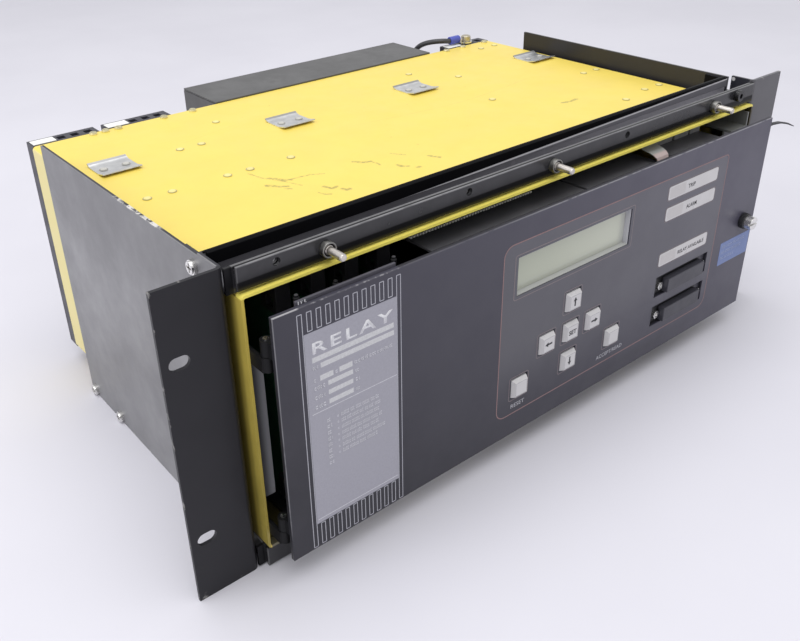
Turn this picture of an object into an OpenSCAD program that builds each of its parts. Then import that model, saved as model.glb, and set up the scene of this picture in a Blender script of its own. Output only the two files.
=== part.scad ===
// Rack-mounted protection relay, four rack units high, with a hinged front panel.
// Axes: X to the right seen from the front, Y to the rear, Z up, millimetres.
// Origin: centre of the four ear slots, in the front plane of the rack ears.

/* [Rack ears and side plates] */
// Overall width over the rack ears
rack_w = 482.6; // [481:0.2:484]
// Height of the ears and side plates, four rack units
rack_h = 177; // [176.4:0.2:177.6]
// Horizontal distance between the ear slots
slot_dx = 465.1; // [464:0.1:466]
// Vertical distance between the ear slots
slot_dz = 101.6; // [101:0.1:102]
// Overall length of an ear slot
slot_l = 10.3; // [9:0.1:11]
// Width of an ear slot
slot_w = 6.8; // [6.4:0.1:7.2]
// Half width to the outer face of a side plate
plate_x = 208.6; // [208.6:0.1:209.2]
// Depth of the side plates
plate_d = 210.5; // [200:0.5:215]
// Sheet thickness of the side plates
plate_t = 2; // [1.5:0.1:2]

/* [Case sleeve] */
// Outer width of the yellow sleeve
sleeve_w = 405.2; // [404.8:0.1:405.2]
// Outer height of the yellow sleeve
sleeve_h = 148.8; // [148.4:0.1:148.8]
// How far the sleeve stands forward of the ears
sleeve_front = 4.8; // [4:0.1:5]
// Depth of the sleeve behind the ear plane
sleeve_d = 248.5; // [246:0.5:248.5]
// Sheet thickness of the sleeve
sleeve_t = 1.5; // [1:0.1:1.5]

/* [Front panel] */
// Width of the hinged front panel
panel_w = 396.8; // [390:0.2:397]
// Height of the hinged front panel
panel_h = 141.4; // [138:0.2:142]
// Distance of the panel's front face from the ear plane
panel_front = 22.3; // [21.5:0.1:23]
// Thickness of the panel
panel_t = 2.5; // [2:0.1:2.5]
// Side of a square key cap
key_s = 12; // [11:0.1:12.4]
// Clearance around a key cap
key_gap = 0.5; // [0.3:0.1:0.5]
// How far a key stands proud of the panel
key_proud = 2.4; // [1.5:0.1:2.5]
// Radius of a hinge pin
pin_r = 1.5; // [1.2:0.1:1.6]
// Radial clearance of the panel's hinge knuckles
pin_clear = 0.05; // [0.02:0.01:0.08]

/* [Rear] */
// Depth of a terminal block behind the sleeve
block_d = 12; // [10:0.5:14]
// Depth of the rear box
box_d = 48.3; // [40:0.1:50]
// Left end of the rear box
box_x0 = -70.5; // [-72:0.5:-65]
// Right end of the rear box
box_x1 = 134; // [128:0.5:136]
// Diameter of the earth cable
cable_dia = 4.2; // [3:0.2:5]

/* [Hidden] */

e = 0.01;
bend = 1;
sw = sleeve_w / 2;
sh = sleeve_h / 2;
si_x = sw - sleeve_t;
si_z = sh - sleeve_t;
pf = -panel_front;
pb = pf + panel_t;
panel_z = -1;
rail_x = plate_x - plate_t - 0.1;
rail_top = 87.5;
rail_back = 22;

// Rail hardware
stud_x = [-155.5, 0, 155.5];
stud_z = 82;
strip_hole_x = [-182, -64.5, 65.5];
strip_hole_z = 84;
cap_x = 182;
side_screw_y = 24.4;
side_screw_z = 80;

// Hinge axis
hx = -197.4;
hy = -14;
hinge_z = [47.5, -56];

// Thumbscrew axis
tx = 184;
tz = -1;

// Key centres
key_col = [-38.9, -17.2, 3.6, 24, 45.3];
key_row = [2.6, -18.2, -38.8];

// Display window
lcd_x0 = -45.2;
lcd_x1 = 52;
lcd_z0 = 23.1;
lcd_z1 = 46.7;

// Indicator strips
ind_x0 = 87.7;
ind_x1 = 140.5;
ind_z = [45.6, 31.3, -0.6];
ind_h = 9;

// Serial connectors
ser_x = 119;
ser_z = [-21.8, -43.8];
ser_dx = 47.04;

// Rivets on the sleeve's top
rivet_pts = [[-184.5, 122.5], [-169.5, 122.5], [-134.5, 122.5], [-119.5, 122.5], [-91, 122.5], [80, 122.5],
  [179, 122.5], [194, 122.5], [-134.5, 180.5], [-119.5, 180.5], [103, 181.5], [-91, 212.5], [79.5, 212.5],
  [177, 231.5], [193, 231.5], [177, 65], [194, 65], [147.5, 59]];
edge_x = [-163.5, -155, -146, -113, -91, 149.5, 168.5, 194];
edge_y = 245;
clip_x = [-178.1, -53.9, 57.2, 184.8];
clip_y = 178.5;
clip_w = 24.5;

// Terminal blocks
block_x = [[-202, -157.6], [-152, -106], [156, 202]];
term_rows = 14;
term_pitch = 10.2;

// Board positions in the open bay
board_x = [-176, -156, -136, -116];

// Route of the earth cable, from the crimp sleeve to the rear box
cable_pts = [[163, 256, 79], [161.4, 256, 79], [159.4, 256.7, 79.3], [156.5, 258.2, 79.5], [152.5, 261.8, 79.2], [149.4, 266, 78.3],
  [147.2, 270.8, 76.6], [145.8, 275.4, 74], [145, 279.6, 70.2], [144.6, 282.8, 65.4], [144.3, 284.8, 60],
  [144, 285.6, 54.6], [143.2, 286, 49.6], [141.4, 286, 45.4], [138.8, 286, 42.2], [136.4, 286, 41], [134.4, 286, 40.6], [131.5, 286, 40.5]];

// ---- helpers -------------------------------------------------------------
module box(x0, x1, y0, y1, z0, z1) { translate([x0, y0, z0]) cube([x1 - x0, y1 - y0, z1 - z0]); }
module cyl_x(y, z, x0, x1, r, fn = 32) { translate([x0, y, z]) rotate([0, 90, 0]) cylinder(r = r, h = x1 - x0, $fn = fn); }
module cyl_y(x, z, y0, y1, r, fn = 32) { translate([x, y1, z]) rotate([90, 0, 0]) cylinder(r = r, h = y1 - y0, $fn = fn); }
module cyl_z(x, y, z0, z1, r, fn = 32) { translate([x, y, z0]) cylinder(r = r, h = z1 - z0, $fn = fn); }
// 2-D section in X and Z, drawn from y0 to y1
module ext_y(y0, y1) { translate([0, y1, 0]) rotate([90, 0, 0]) linear_extrude(y1 - y0) children(); }
// 2-D section in Y and Z, drawn from x0 to x1
module ext_x(x0, x1) { translate([x0, 0, 0]) rotate([90, 0, 90]) linear_extrude(x1 - x0) children(); }
module rrect(w, h, r) {
  square([w - 2 * r, h], center = true);
  square([w, h - 2 * r], center = true);
  for (sx = [-1, 1], sz = [-1, 1]) translate([sx * (w / 2 - r), sz * (h / 2 - r)]) circle(r, $fn = 32);
}
// Pan-head screw along +X from a plate's outer face
module pan_x(y, z, x, len) {
  difference() {
    union() {
      cyl_x(y, z, x - 1.6, x, 3.7);
      cyl_x(y, z, x - 2.4, x - 1.6, 3.1);
      cyl_x(y, z, x - e, x + len, 1.95);
    }
    box(x - 3, x - 1.3, y - 0.5, y + 0.5, z - 2.4, z + 2.4);
    box(x - 3, x - 1.3, y - 2.4, y + 2.4, z - 0.5, z + 0.5);
  }
}
// Domed screw along -Z with a slot
module pan_z(x, y, z, len, r = 2.6) {
  difference() {
    union() {
      cyl_z(x, y, z, z + 1, r);
      cyl_z(x, y, z + 1 - e, z + 1.7, r * 0.8);
      cyl_z(x, y, z - len, z + e, 1.4);
    }
    box(x - 2, x + 2, y - 0.35, y + 0.35, z + 1, z + 3);
  }
}
module rivet(x, y, z) {
  cyl_z(x, y, z, z + 0.4, 2.6);
  cyl_z(x, y, z + 0.4 - e, z + 0.7, 1.9);
  cyl_z(x, y, si_z, z + e, 1.5);
}

// ---- case ----------------------------------------------------------------
// Folded yellow sleeve, open at the front and the rear
module case_sleeve() {
  color("gold") difference() {
    ext_y(-sleeve_front, sleeve_d) difference() {
      rrect(sleeve_w, sleeve_h, 2.5);
      rrect(2 * si_x, 2 * si_z, 1);
    }
    for (p = rivet_pts) cyl_z(p[0], p[1], si_z - 1, sh + 1, 1.6);
    for (x = clip_x, dx = [-7, 7]) cyl_z(x + dx, clip_y, si_z - 1, sh + 1, 1.6);
    for (x = edge_x) cyl_z(x, edge_y, si_z - 1, sh + 1, 1.5);
  }
}

module side_section() {
  translate([-rack_w / 2, 0]) square([rack_w / 2 - plate_x - bend + e, plate_t]);
  translate([-plate_x, plate_t + bend - e]) square([plate_t, plate_d - plate_t - bend + e]);
  translate([-plate_x - bend, plate_t + bend]) intersection() {
    difference() {
      circle(bend + plate_t, $fn = 48);
      circle(bend, $fn = 48);
    }
    translate([0, -bend - plate_t]) square(bend + plate_t);
  }
}
// Side plate folded outward into a rack ear
module side_plate() {
  difference() {
    translate([0, 0, -rack_h / 2]) linear_extrude(rack_h) side_section();
    for (z = [-slot_dz / 2, slot_dz / 2]) {
      for (d = [-1, 1]) cyl_y(-slot_dx / 2 + d * (slot_l - slot_w) / 2, z, -1, plate_t + 1, slot_w / 2);
      box(-slot_dx / 2 - (slot_l - slot_w) / 2, -slot_dx / 2 + (slot_l - slot_w) / 2, -1, plate_t + 1, z - slot_w / 2, z + slot_w / 2);
    }
    box(-plate_x - 1, -plate_x + plate_t + 1, 19.5, plate_d + 1, rack_h / 2 - 1.5, rack_h / 2 + 1);
    cyl_x(side_screw_y, side_screw_z, -plate_x - 1, -plate_x + plate_t + 1, 2);
    for (y = [163.5, 203]) cyl_x(y, -84.3, -plate_x - 1, -plate_x + plate_t + 1, 2);
  }
}
module side_plate_left() { color("dimgray") side_plate(); }
module side_plate_right() {
  color("dimgray") difference() {
    mirror([1, 0, 0]) side_plate();
    box(plate_x - plate_t - 1, plate_x + 1, 16.6, 19.6, 78, rack_h / 2 + 1);
  }
}

// Channel between the side plates, with a fixing tab at each end
module front_rail() {
  ext_x(-rail_x, rail_x) {
    translate([0, sh]) square([1.5, rail_top - sh]);
    translate([0, sh]) square([rail_back, 1.5]);
    translate([rail_back - 1.5, sh]) square([1.5, rail_top - sh]);
  }
  for (s = [0, 1]) mirror([s, 0, 0]) difference() {
    box(-rail_x, -rail_x + 1.5, rail_back - 1.5, 36, sh, 86);
    cyl_x(side_screw_y, side_screw_z, -rail_x - 1, -rail_x + 2, 2);
  }
}
module top_front_rail() {
  color("#26252a") difference() {
    front_rail();
    for (x = stud_x) cyl_y(x, stud_z, -1, 3, 2.5);
    for (x = concat(strip_hole_x, [cap_x])) cyl_y(x, strip_hole_z, -1, 3, 2.1);
  }
}
module bottom_front_rail() { color("#26252a") mirror([0, 0, 1]) front_rail(); }

// Flat strip in front of the top rail, which carries the cover studs
module stud_strip() {
  color("#26252a") difference() {
    box(-202.4, 202.4, -3, -1, 76, 88);
    for (x = stud_x) cyl_y(x, stud_z, -4, 0, 2.5);
    for (x = concat(strip_hole_x, [cap_x])) cyl_y(x, strip_hole_z, -4, 0, 2.1);
  }
}
module bottom_strip() { color("#26252a") box(-202.4, 202.4, -3, -1, -88, -76); }

// Dark sealing strip along the rail's rear lip
module rail_seal() { color("#0c0c0c") box(-204, 204, rail_back - 4, rail_back - 1.5, 81.2, rail_top); }

// Angles under the sleeve, which the side plates are screwed to
module base_angles() {
  color("#26252a") for (s = [0, 1]) mirror([s, 0, 0]) difference() {
    union() {
      box(-rail_x, -190, 40, 208, -sh - 1.6, -sh);
      box(-rail_x, -rail_x + 2, 40, 208, -88, -sh);
    }
    for (y = [163.5, 203]) cyl_x(y, -84.3, -rail_x - 1, -rail_x + 3, 2);
  }
}

// Studs for a front cover
module cover_studs() {
  color("silver") for (x = stud_x) {
    cyl_y(x, stud_z, -16.4, -6.2 + e, 2);
    cyl_y(x, stud_z, -6.2, 1.5, 2.4);
    cyl_y(x, stud_z, -17, -16.4 + e, 1.6);
    cyl_y(x, stud_z, 1.5 - e, 3.2, 3.4);
  }
}
module stud_nuts() {
  color("silver") for (x = stud_x) difference() {
    cyl_y(x, stud_z, -6.5, -3, 3.95);
    cyl_y(x, stud_z, -7, -5, 3.1);
    cyl_y(x, stud_z, -6, -2, 2.46);
  }
}
module frame_screws() {
  color("silver") {
    for (s = [0, 1]) mirror([s, 0, 0]) {
      pan_x(side_screw_y, side_screw_z, -plate_x, 5);
      for (y = [163.5, 203]) pan_x(y, -84.3, -plate_x, 6);
    }
    difference() {
      union() {
        cyl_y(cap_x, strip_hole_z, -6.4, -3, 3.7);
        cyl_y(cap_x, strip_hole_z, -3 - e, 3, 2);
      }
      cyl_y(cap_x, strip_hole_z, -7, -4.4, 1.8, 6);
    }
  }
}
module case_rivets() {
  color("khaki") {
    for (p = rivet_pts) rivet(p[0], p[1], sh);
    for (x = clip_x, dx = [-7, 7]) rivet(x + dx, clip_y, sh + 0.7);
  }
}
// Earthing springs: flat where riveted, with a turned-up rear lip and a lifted front edge
module spring_clips() {
  color("silver") for (x = clip_x) difference() {
    ext_x(x - clip_w / 2, x + clip_w / 2) polygon([[166.8, 76], [170.5, 75.1], [174, sh], [186.5, sh], [188.6, 75], [190.6, 76.2],
      [190.2, 76.8], [188.2, 75.65], [186, sh + 0.7], [174.4, sh + 0.7], [170.8, 75.8], [167, 76.7]]);
    for (dx = [-7, 7]) cyl_z(x + dx, clip_y, sh - 1, sh + 2, 1.6);
  }
}

// ---- rear ----------------------------------------------------------------
module rear_panel() {
  color("#b8a93a") difference() {
    box(-si_x + 0.1, si_x - 0.1, sleeve_d - 2, sleeve_d, -si_z + 0.1, si_z - 0.1);
    for (b = block_x) box(b[0] + 3.6, b[1] - 3.6, sleeve_d - 3, sleeve_d + 1, -68, 68);
    box(box_x0 + 20, box_x1 - 20, sleeve_d - 3, sleeve_d + 1, -40, 40);
  }
}
// Barrier terminal blocks, two columns of recessed terminals each
module terminal_blocks() {
  color("#2a2a2e") for (b = block_x) difference() {
    union() {
      box(b[0] + 4, b[1] - 4, sleeve_d - 11, sleeve_d + e, -67.6, 67.6);
      box(b[0], b[1], sleeve_d, sleeve_d + block_d, -75, 74.5);
    }
    for (c = [0, 1], i = [0:term_rows - 1])
      translate([(b[0] + b[1]) / 2 + (c ? 3.4 : -18.4), sleeve_d + block_d - 3.8, (i - (term_rows - 1) / 2) * term_pitch - 4.2]) cube([15, 8, 8.4]);
    for (q = [18, 27, 36]) box(b[0] + q, b[0] + q + 5, sleeve_d + 3, sleeve_d + 8.5, 72, 76);
    if (b[0] > 100) cyl_z(181, 254.5, 64, 76, 2.5);
  }
}
module terminal_screws() {
  color("#c9b26a") for (b = block_x, c = [-1, 1], i = [0:term_rows - 1])
    translate([(b[0] + b[1]) / 2 + c * 10.9, sleeve_d + block_d - 3.8, (i - (term_rows - 1) / 2) * term_pitch]) rotate([-90, 0, 0]) difference() {
      cylinder(r = 3, h = 2.2, $fn = 24);
      translate([-4, -0.45, 1.4]) cube([8, 0.9, 2]);
    }
}
module terminal_markers() {
  color("white") for (b = block_x) {
    box(b[0] + 1, b[0] + 16, sleeve_d + 1.2, sleeve_d + 9.5, 74.5, 75.1);
    box((b[0] + b[1]) / 2 - 2.4, (b[0] + b[1]) / 2 + 2.4, sleeve_d + block_d, sleeve_d + block_d + 0.6, -71, 71);
  }
}
bx_y = sleeve_d + 0.2;
// Rear box: folded body, open at the front against the rear panel
module rear_box() {
  color("#6a696e") difference() {
    box(box_x0, box_x1, bx_y, bx_y + box_d, -74, 74);
    box(box_x0 + 1.5, box_x1 - 1.5, bx_y - 1, bx_y + box_d - 1.5, -72.5, 75);
    for (i = [0:8], k = [-1, 1]) translate([(box_x0 + box_x1) / 2 + k * 46 - 34, bx_y + box_d - 3, -44 + i * 11]) cube([68, 5, 4]);
    cyl_x(286, 40.6, box_x1 - 3, box_x1 + 1, 2.7);
    for (x = [box_x0 + 10, box_x1 - 10], z = [-62, 62]) cyl_y(x, z, bx_y + box_d - 3, bx_y + box_d + 1, 1.6);
  }
}
module rear_box_lid() {
  color("#6a696e") {
    box(box_x0, box_x1, bx_y, bx_y + box_d, 74.3, 75.6);
    box(box_x0 + 1.8, box_x0 + 3.2, bx_y + 3, bx_y + box_d - 4, 66, 74.3 + e);
    box(box_x1 - 3.2, box_x1 - 1.8, bx_y + 3, bx_y + box_d - 4, 66, 74.3 + e);
  }
}
module rear_screws() {
  color("khaki") {
    for (x = edge_x) pan_z(x, edge_y, sh, 2.2);
    for (x = [box_x0 + 10, box_x1 - 10], z = [-62, 62]) {
      cyl_y(x, z, bx_y + box_d, bx_y + box_d + 1.8, 3);
      cyl_y(x, z, bx_y + box_d - 4, bx_y + box_d + e, 1.5);
    }
  }
}
module earth_bolt() {
  color("#b9a97c") {
    cyl_z(181, 254.5, 76.4, 80.6, 4.1);
    cyl_z(181, 254.5, 80.6 - e, 81.2, 3.3);
    cyl_z(181, 254.5, 65, 76.4 + e, 2.4);
    difference() {
      cyl_z(181, 254.5, 74.5, 75.2, 4.2);
      cyl_z(181, 254.5, 74, 76, 2.45);
    }
  }
}
module ring_terminal() {
  color("lightgray") difference() {
    union() {
      cyl_z(181, 254.5, 75.3, 76.3, 5.4);
      box(173.6, 179, 252.6, 256.6, 75.3, 76.3);
      box(173.6, 175, 253.8, 256.6, 75.3, 79);
    }
    cyl_z(181, 254.5, 74, 78, 2.45);
  }
}
module earth_sleeve() {
  color("#4a55c0") {
    cyl_x(256, 79, 163, 173.6, 3.3);
  }
}
function unit(v) = v / norm(v);
function tangent(i) = unit(cable_pts[min(i + 1, len(cable_pts) - 1)] - cable_pts[max(i - 1, 0)]);
function side_dir(t) = unit(cross(t, [0.3, 0.2, 0.93]));
cable_sides = 10;
function ring_at(i) = let (t = tangent(i), u = side_dir(t), w = cross(u, t))
  [for (k = [0:cable_sides - 1]) cable_pts[i] + cable_dia / 2 * (cos(360 * k / cable_sides) * u + sin(360 * k / cable_sides) * w)];
module earth_cable() {
  n = len(cable_pts);
  color("#3c3c42") polyhedron(
    points = [for (i = [0:n - 1]) each ring_at(i)],
    faces = concat(
      [[for (k = [0:cable_sides - 1]) k]],
      [for (i = [0:n - 2], k = [0:cable_sides - 1]) [i * cable_sides + k, (i + 1) * cable_sides + k, (i + 1) * cable_sides + (k + 1) % cable_sides]],
      [for (i = [0:n - 2], k = [0:cable_sides - 1]) [i * cable_sides + k, (i + 1) * cable_sides + (k + 1) % cable_sides, i * cable_sides + (k + 1) % cable_sides]],
      [[for (k = [cable_sides - 1:-1:0]) (n - 1) * cable_sides + k]]),
    convexity = 6);
}

// ---- hinge and latch on the case -------------------------------------------
module hinge_brackets() {
  color("#3a3a3e") for (z = hinge_z) difference() {
    union() {
      cyl_z(hx, hy, z - 8.4, z - 0.4, 3);
      box(-si_x + 0.1, -si_x + 2.1, hy, 8, z - 8.4, z - 0.4);
      box(-si_x + 0.1, hx, hy - 1, hy + 3, z - 8.4, z - 0.4);
      box(-si_x + 0.1, -si_x + 2.1, 2, 26, z - 16, z + 8);
    }
    cyl_z(hx, hy, z - 10, z + 1, pin_r);
  }
}
module hinge_pins() {
  color("silver") for (z = hinge_z) {
    cyl_z(hx, hy, z - 8.4, z + 8.6, pin_r);
  }
}
module latch_bracket() {
  color("#3a3a3e") difference() {
    union() {
      box(si_x - 2.1, si_x - 0.1, -6, 26, tz - 13, tz + 13);
      box(174, si_x - 0.1, -6, -4, tz - 13, tz + 13);
    }
    cyl_y(tx, tz, -7, -3, 2);
  }
}

// ---- inside the sleeve -----------------------------------------------------
module backplane() {
  color("#1d4a2b") box(-198, 198, 229, 231, -68, 68);
}
// Moulded guides above and below the boards, with a comb along the front edge
module card_guides() {
  color("#141414") for (s = [0, 1]) mirror([0, 0, s]) difference() {
    union() {
      box(-184, 199, 4, 228, 70, si_z - 0.1);
      if (s == 0) for (i = [0:43]) box(-100 + i * 2.05, -99 + i * 2.05, 2, 4 + e, 66.8, si_z - 0.1);
    }
    for (x = board_x) box(x - 1, x + 1, 3, 229, 69, 71.2);
  }
}
// Supply module: folded light-grey sheet along the left wall
module supply_module() {
  color("#9a9aa0") {
    box(-194, -192.4, 1, 220, -45, 37);
    box(-198.4, -192.4, 0, 1.6, -45, 37);
  }
}
module module_boards() {
  color("#1d4a2b") for (x = board_x) box(x - 0.8, x + 0.8, 10, 228.8, -71, 71);
}
module board_handles() {
  color("#1a1a1c") for (x = board_x, s = [0, 1]) mirror([0, 0, s]) {
    difference() {
      box(x - 4, x + 4, 4, 18, 52, 68);
      box(x - 0.9, x + 0.9, 9.9, 19, 50, 70);
      box(x - 5, x + 5, 7, 13, 55, 60);
    }
  }
}
// Module tray: folded front plate with a floor and a deep top flange
module tray(x0, x1) {
  difference() {
    union() {
      box(x0, x1, -5, -3.5, -69.8, 60);
      box(x0, x1, -3.5 - e, 215, -69.8, -68.3);
      box(x0, x1, -3.5 - e, 60, 58.5, 60);
    }
    for (z = [-50, 50]) cyl_y((x0 + x1) / 2, z, -6, -2, 2);
  }
}
module processor_module() { color("#2c2c30") tray(-92, 27.8); }
module output_module() { color("#2c2c30") tray(29.9, 97); }
// Input module: tray with upright tabs, and a narrow right end beside the latch
module input_module() {
  color("#333336") {
    tray(111.2, 165);
    for (t = [[113, 134], [136.4, 152], [154.2, 165]]) box(t[0], t[1], 10, 11.5, 60 - e, 69.5);
    box(165 - e, 198, -3.5, 215, -69.8, -68.3);
    box(180, 198, 0, 1.5, -69.8, 60);
    box(180, 198.8, -5, 60, 58.5, 60);
    box(197.3, 198.8, -5, 60, 60 - e, 69.5);
  }
}
// Input transformers: a core with a winding, standing on the module floor
module input_transformers() {
  color("#7a5a34") for (y = [40, 100, 160]) difference() {
    union() {
      box(143, 191, y, y + 42, -68.2, -15);
      box(150, 184, y - 6, y + 48, -58, -24);
    }
    for (x = [147, 187], yy = [y + 4, y + 38]) cyl_z(x, yy, -70, -14, 1.8);
  }
}

// ---- front panel -----------------------------------------------------------
module front_panel() {
  color("#4d4c55") difference() {
    box(-panel_w / 2, panel_w / 2, pf, pb, panel_z - panel_h / 2, panel_z + panel_h / 2);
    box(lcd_x0, lcd_x1, pf - 1, pb + 1, lcd_z0, lcd_z1);
    for (z = ind_z) translate([(ind_x0 + ind_x1) / 2, 0, z]) ext_y(pf - 1, pb + 1) rrect(ind_x1 - ind_x0, ind_h, 1.6);
    for (k = key_pos()) box(k[0] - key_s / 2 - key_gap, k[0] + key_s / 2 + 2 * key_gap, pf - 1, pb + 1, k[1] - key_s / 2 - key_gap, k[1] + key_s / 2 + 2 * key_gap);
    for (z = ser_z) box(ser_x - 31, ser_x + 26.4, pf - 1, pb + 1, z - 6.2, z + 8.9);
    cyl_y(tx, tz, pf - 1, pb + 1, 2.5);
  }
}
function key_pos() = [[key_col[2], key_row[0]], [key_col[2], key_row[2]], [key_col[1], key_row[1]], [key_col[3], key_row[1]],
  [key_col[2], key_row[1]], [key_col[4], key_row[2]], [key_col[0], key_row[2]]];

// Hinge lugs welded behind the panel's left edge
module panel_hinge_lugs() {
  color("#55555a") for (z = hinge_z) {
    difference() {
      union() {
        cyl_z(hx, hy, z, z + 8, 3);
        box(hx - 1, hx + 2, pb, hy, z, z + 8);
        box(hx - 1, -182, pb, pb + 1.6, z - 0, z + 8);
      }
      cyl_z(hx, hy, z - 1, z + 9, pin_r + pin_clear);
    }
  }
}
// Plate behind the panel that carries the rating data, standing above the panel's edge
module label_carrier() {
  color("#4d4c55") {
    box(-184.5, -127.8, pb + 0.1, pb + 1.6, 57, 71.5);
    box(-178, -132, pb + 0.1, pb + 1.6, 40, 57 + e);
  }
}

module lcd_module() {
  color("#8f9488") difference() {
    union() {
      box(-52, 58, pb + 0.2, pb + 4.2, 16, 53);
      box(-50, 56, pb + 4.2 - e, -13.1, 18, 51);
      box(lcd_x0 + 0.1, lcd_x1 - 0.5, pf + 0.6, pb + 0.2 + e, lcd_z0 + 0.1, lcd_z1 - 0.1);
    }
    box(lcd_x0 + 0.5, lcd_x1 - 0.9, pf - 1, pb + 2.6, lcd_z0 + 0.5, lcd_z1 - 0.5);
  }
}
module lcd_window() { color("#b7bfa6") box(lcd_x0 + 0.6, lcd_x1 - 1, pb + 1.4, pb + 2.5, lcd_z0 + 0.6, lcd_z1 - 0.6); }
module indicator_windows() {
  color("#c9c7c2") for (z = ind_z) translate([(ind_x0 + ind_x1) / 2, 0, z]) ext_y(pf - 0.15, pb - 0.2) rrect(ind_x1 - ind_x0 - 0.1, ind_h - 0.1, 1.55);
}
module display_board() {
  color("#1d4a2b") difference() {
    box(-62, 158, -13, -11.4, -58, 55);
    for (p = standoff_pts()) cyl_y(p[0], p[1], -14, -11, 1.6);
    for (z = ser_z) box(ser_x - 21, ser_x + 21, -14, -11, z - 6, z + 6);
  }
}
function standoff_pts() = [[-58, 50], [68, 50], [154, 50], [-58, -53], [68, -53], [154, -55]];
module board_standoffs() {
  color("silver") for (p = standoff_pts()) {
    cyl_y(p[0], p[1], pb, -13, 2.8);
    cyl_y(p[0], p[1], -13 - e, -11.4, 1.5);
    cyl_y(p[0], p[1], -11.4 - e, -9.6, 2.8);
  }
}
// Key switches, indicator lamps, chips and headers soldered to the display board
module board_components() {
  color("#202022") {
    for (k = key_pos()) {
      box(k[0] - 4, k[0] + 4, -15.4, -13, k[1] - 4, k[1] + 4);
    }
    for (z = ind_z) cyl_y(ind_x0 + 8, z, -18.6, -13, 2.4);
    for (i = [0:3]) box(-46 + i * 26, -30 + i * 26, -11.4, -8.4, -10, 12);
    box(-20, 40, -11.4, -7, 30, 38);
  }
}
module serial_connectors() {
  color("#101012") for (z = ser_z) difference() {
    union() {
      box(ser_x - 33, ser_x + 33, pb, pb + 1.2, z - 7.2, z + 9.6);
      box(ser_x - 20.5, ser_x + 20.5, pb + 1.2 - e, -8, z - 5.6, z + 5.6);
      box(ser_x - 19, ser_x + 19, pb - 3, pb + e, z - 4.1, z + 4.1);
    }
    for (s = [-1, 1]) cyl_y(ser_x + s * ser_dx / 2, z, pb - 1, pb + 2, 1.55);
  }
}
// Dust covers pushed over the connector shells
module connector_covers() {
  color("#47464e") for (z = ser_z) difference() {
    box(ser_x - 20.2, ser_x + 20.2, pf - 2.5, pb - 0.1, z - 5.2, z + 5);
    box(ser_x - 19.1, ser_x + 19.1, pb - 3.1, pb + 1, z - 4.2, z + 4.2);
  }
}
module jackscrews() {
  color("silver") for (z = ser_z, s = [-1, 1]) difference() {
    union() {
      cyl_y(ser_x + s * ser_dx / 2, z, pf + 0.8, pb, 3, 6);
      cyl_y(ser_x + s * ser_dx / 2, z, pb - e, pb + 3, 1.5);
    }
    cyl_y(ser_x + s * ser_dx / 2, z, pf, pf + 2, 1.1);
  }
}
// Tie around the panel's wiring, its tail reaching past the panel's right edge
module harness_tie() {
  color("#111111") {
    difference() {
      cyl_y(186, 60.4, -17.6, -15, 4.4);
      cyl_y(186, 60.4, -18, -14, 3.4);
    }
    box(182, 190, pb, -17.6 + e, 56.4, 64.4);
    ext_y(-17.5, -15.1) polygon([[190, 60], [211, 60.4], [221, 59.2], [232, 56.2], [241, 52.6], [241.2, 53], [232, 57.2], [221, 60.4], [211, 61.6], [190, 61.2]]);
  }
}
module thumb_knob() {
  color("#151515") difference() {
    translate([tx, 0, tz]) ext_y(pf - 3.8, pf - 0.3)
      polygon([for (i = [0:59]) let (r = i % 2 == 0 ? 5.75 : 5.35) [r * cos(i * 6), r * sin(i * 6)]]);
    cyl_y(tx, tz, pf - 5, pf + 1, 2);
  }
}
module thumb_screw() {
  color("silver") difference() {
    union() {
      cyl_y(tx, tz, pf - 9, pf - 3.8, 4.6);
      cyl_y(tx, tz, pf - 3.8 - e, -9.2, 1.98);
      cyl_y(tx, tz, pb + 1, pb + 1.8, 3.8);
    }
    box(tx - 5, tx + 5, pf - 10, pf - 7.4, tz - 0.6, tz + 0.6);
  }
}
// Tapered key cap with a flange that keeps it behind the panel
module key_cap(i) {
  k = key_pos()[i];
  color("#d9d8d6") translate([k[0], 0, k[1]]) {
    box(-key_s / 2, key_s / 2, pf + 0.2, pb + 0.8, -key_s / 2, key_s / 2);
    translate([0, pf + 0.2 + e, 0]) rotate([90, 0, 0]) linear_extrude(key_proud + 0.2 + e, scale = 0.8) square(key_s, center = true);
    box(-key_s / 2 - 1.2, key_s / 2 + 1.2, pb + 0.3, pb + 1.3, -key_s / 2 - 1.2, key_s / 2 + 1.2);
    box(-2, 2, pb + 1.3 - e, -17.3, -2, 2);
  }
}
module key_up() { key_cap(0); }
module key_down() { key_cap(1); }
module key_left() { key_cap(2); }
module key_right() { key_cap(3); }
module key_set() { key_cap(4); }
module key_accept() { key_cap(5); }
module key_reset() { key_cap(6); }

case_sleeve();
side_plate_left();
side_plate_right();
top_front_rail();
bottom_front_rail();
stud_strip();
bottom_strip();
rail_seal();
base_angles();
cover_studs();
stud_nuts();
frame_screws();
case_rivets();
spring_clips();
rear_panel();
terminal_blocks();
terminal_screws();
terminal_markers();
rear_box();
rear_box_lid();
rear_screws();
earth_bolt();
ring_terminal();
earth_sleeve();
earth_cable();
hinge_brackets();
hinge_pins();
latch_bracket();
backplane();
card_guides();
supply_module();
module_boards();
board_handles();
processor_module();
output_module();
input_module();
input_transformers();
front_panel();
panel_hinge_lugs();
label_carrier();
lcd_module();
lcd_window();
indicator_windows();
display_board();
board_components();
board_standoffs();
serial_connectors();
connector_covers();
jackscrews();
harness_tie();
thumb_knob();
thumb_screw();
key_up();
key_down();
key_left();
key_right();
key_set();
key_accept();
key_reset();
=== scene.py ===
import math
import random

import bmesh
import bpy
from mathutils import Matrix, Vector


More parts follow.
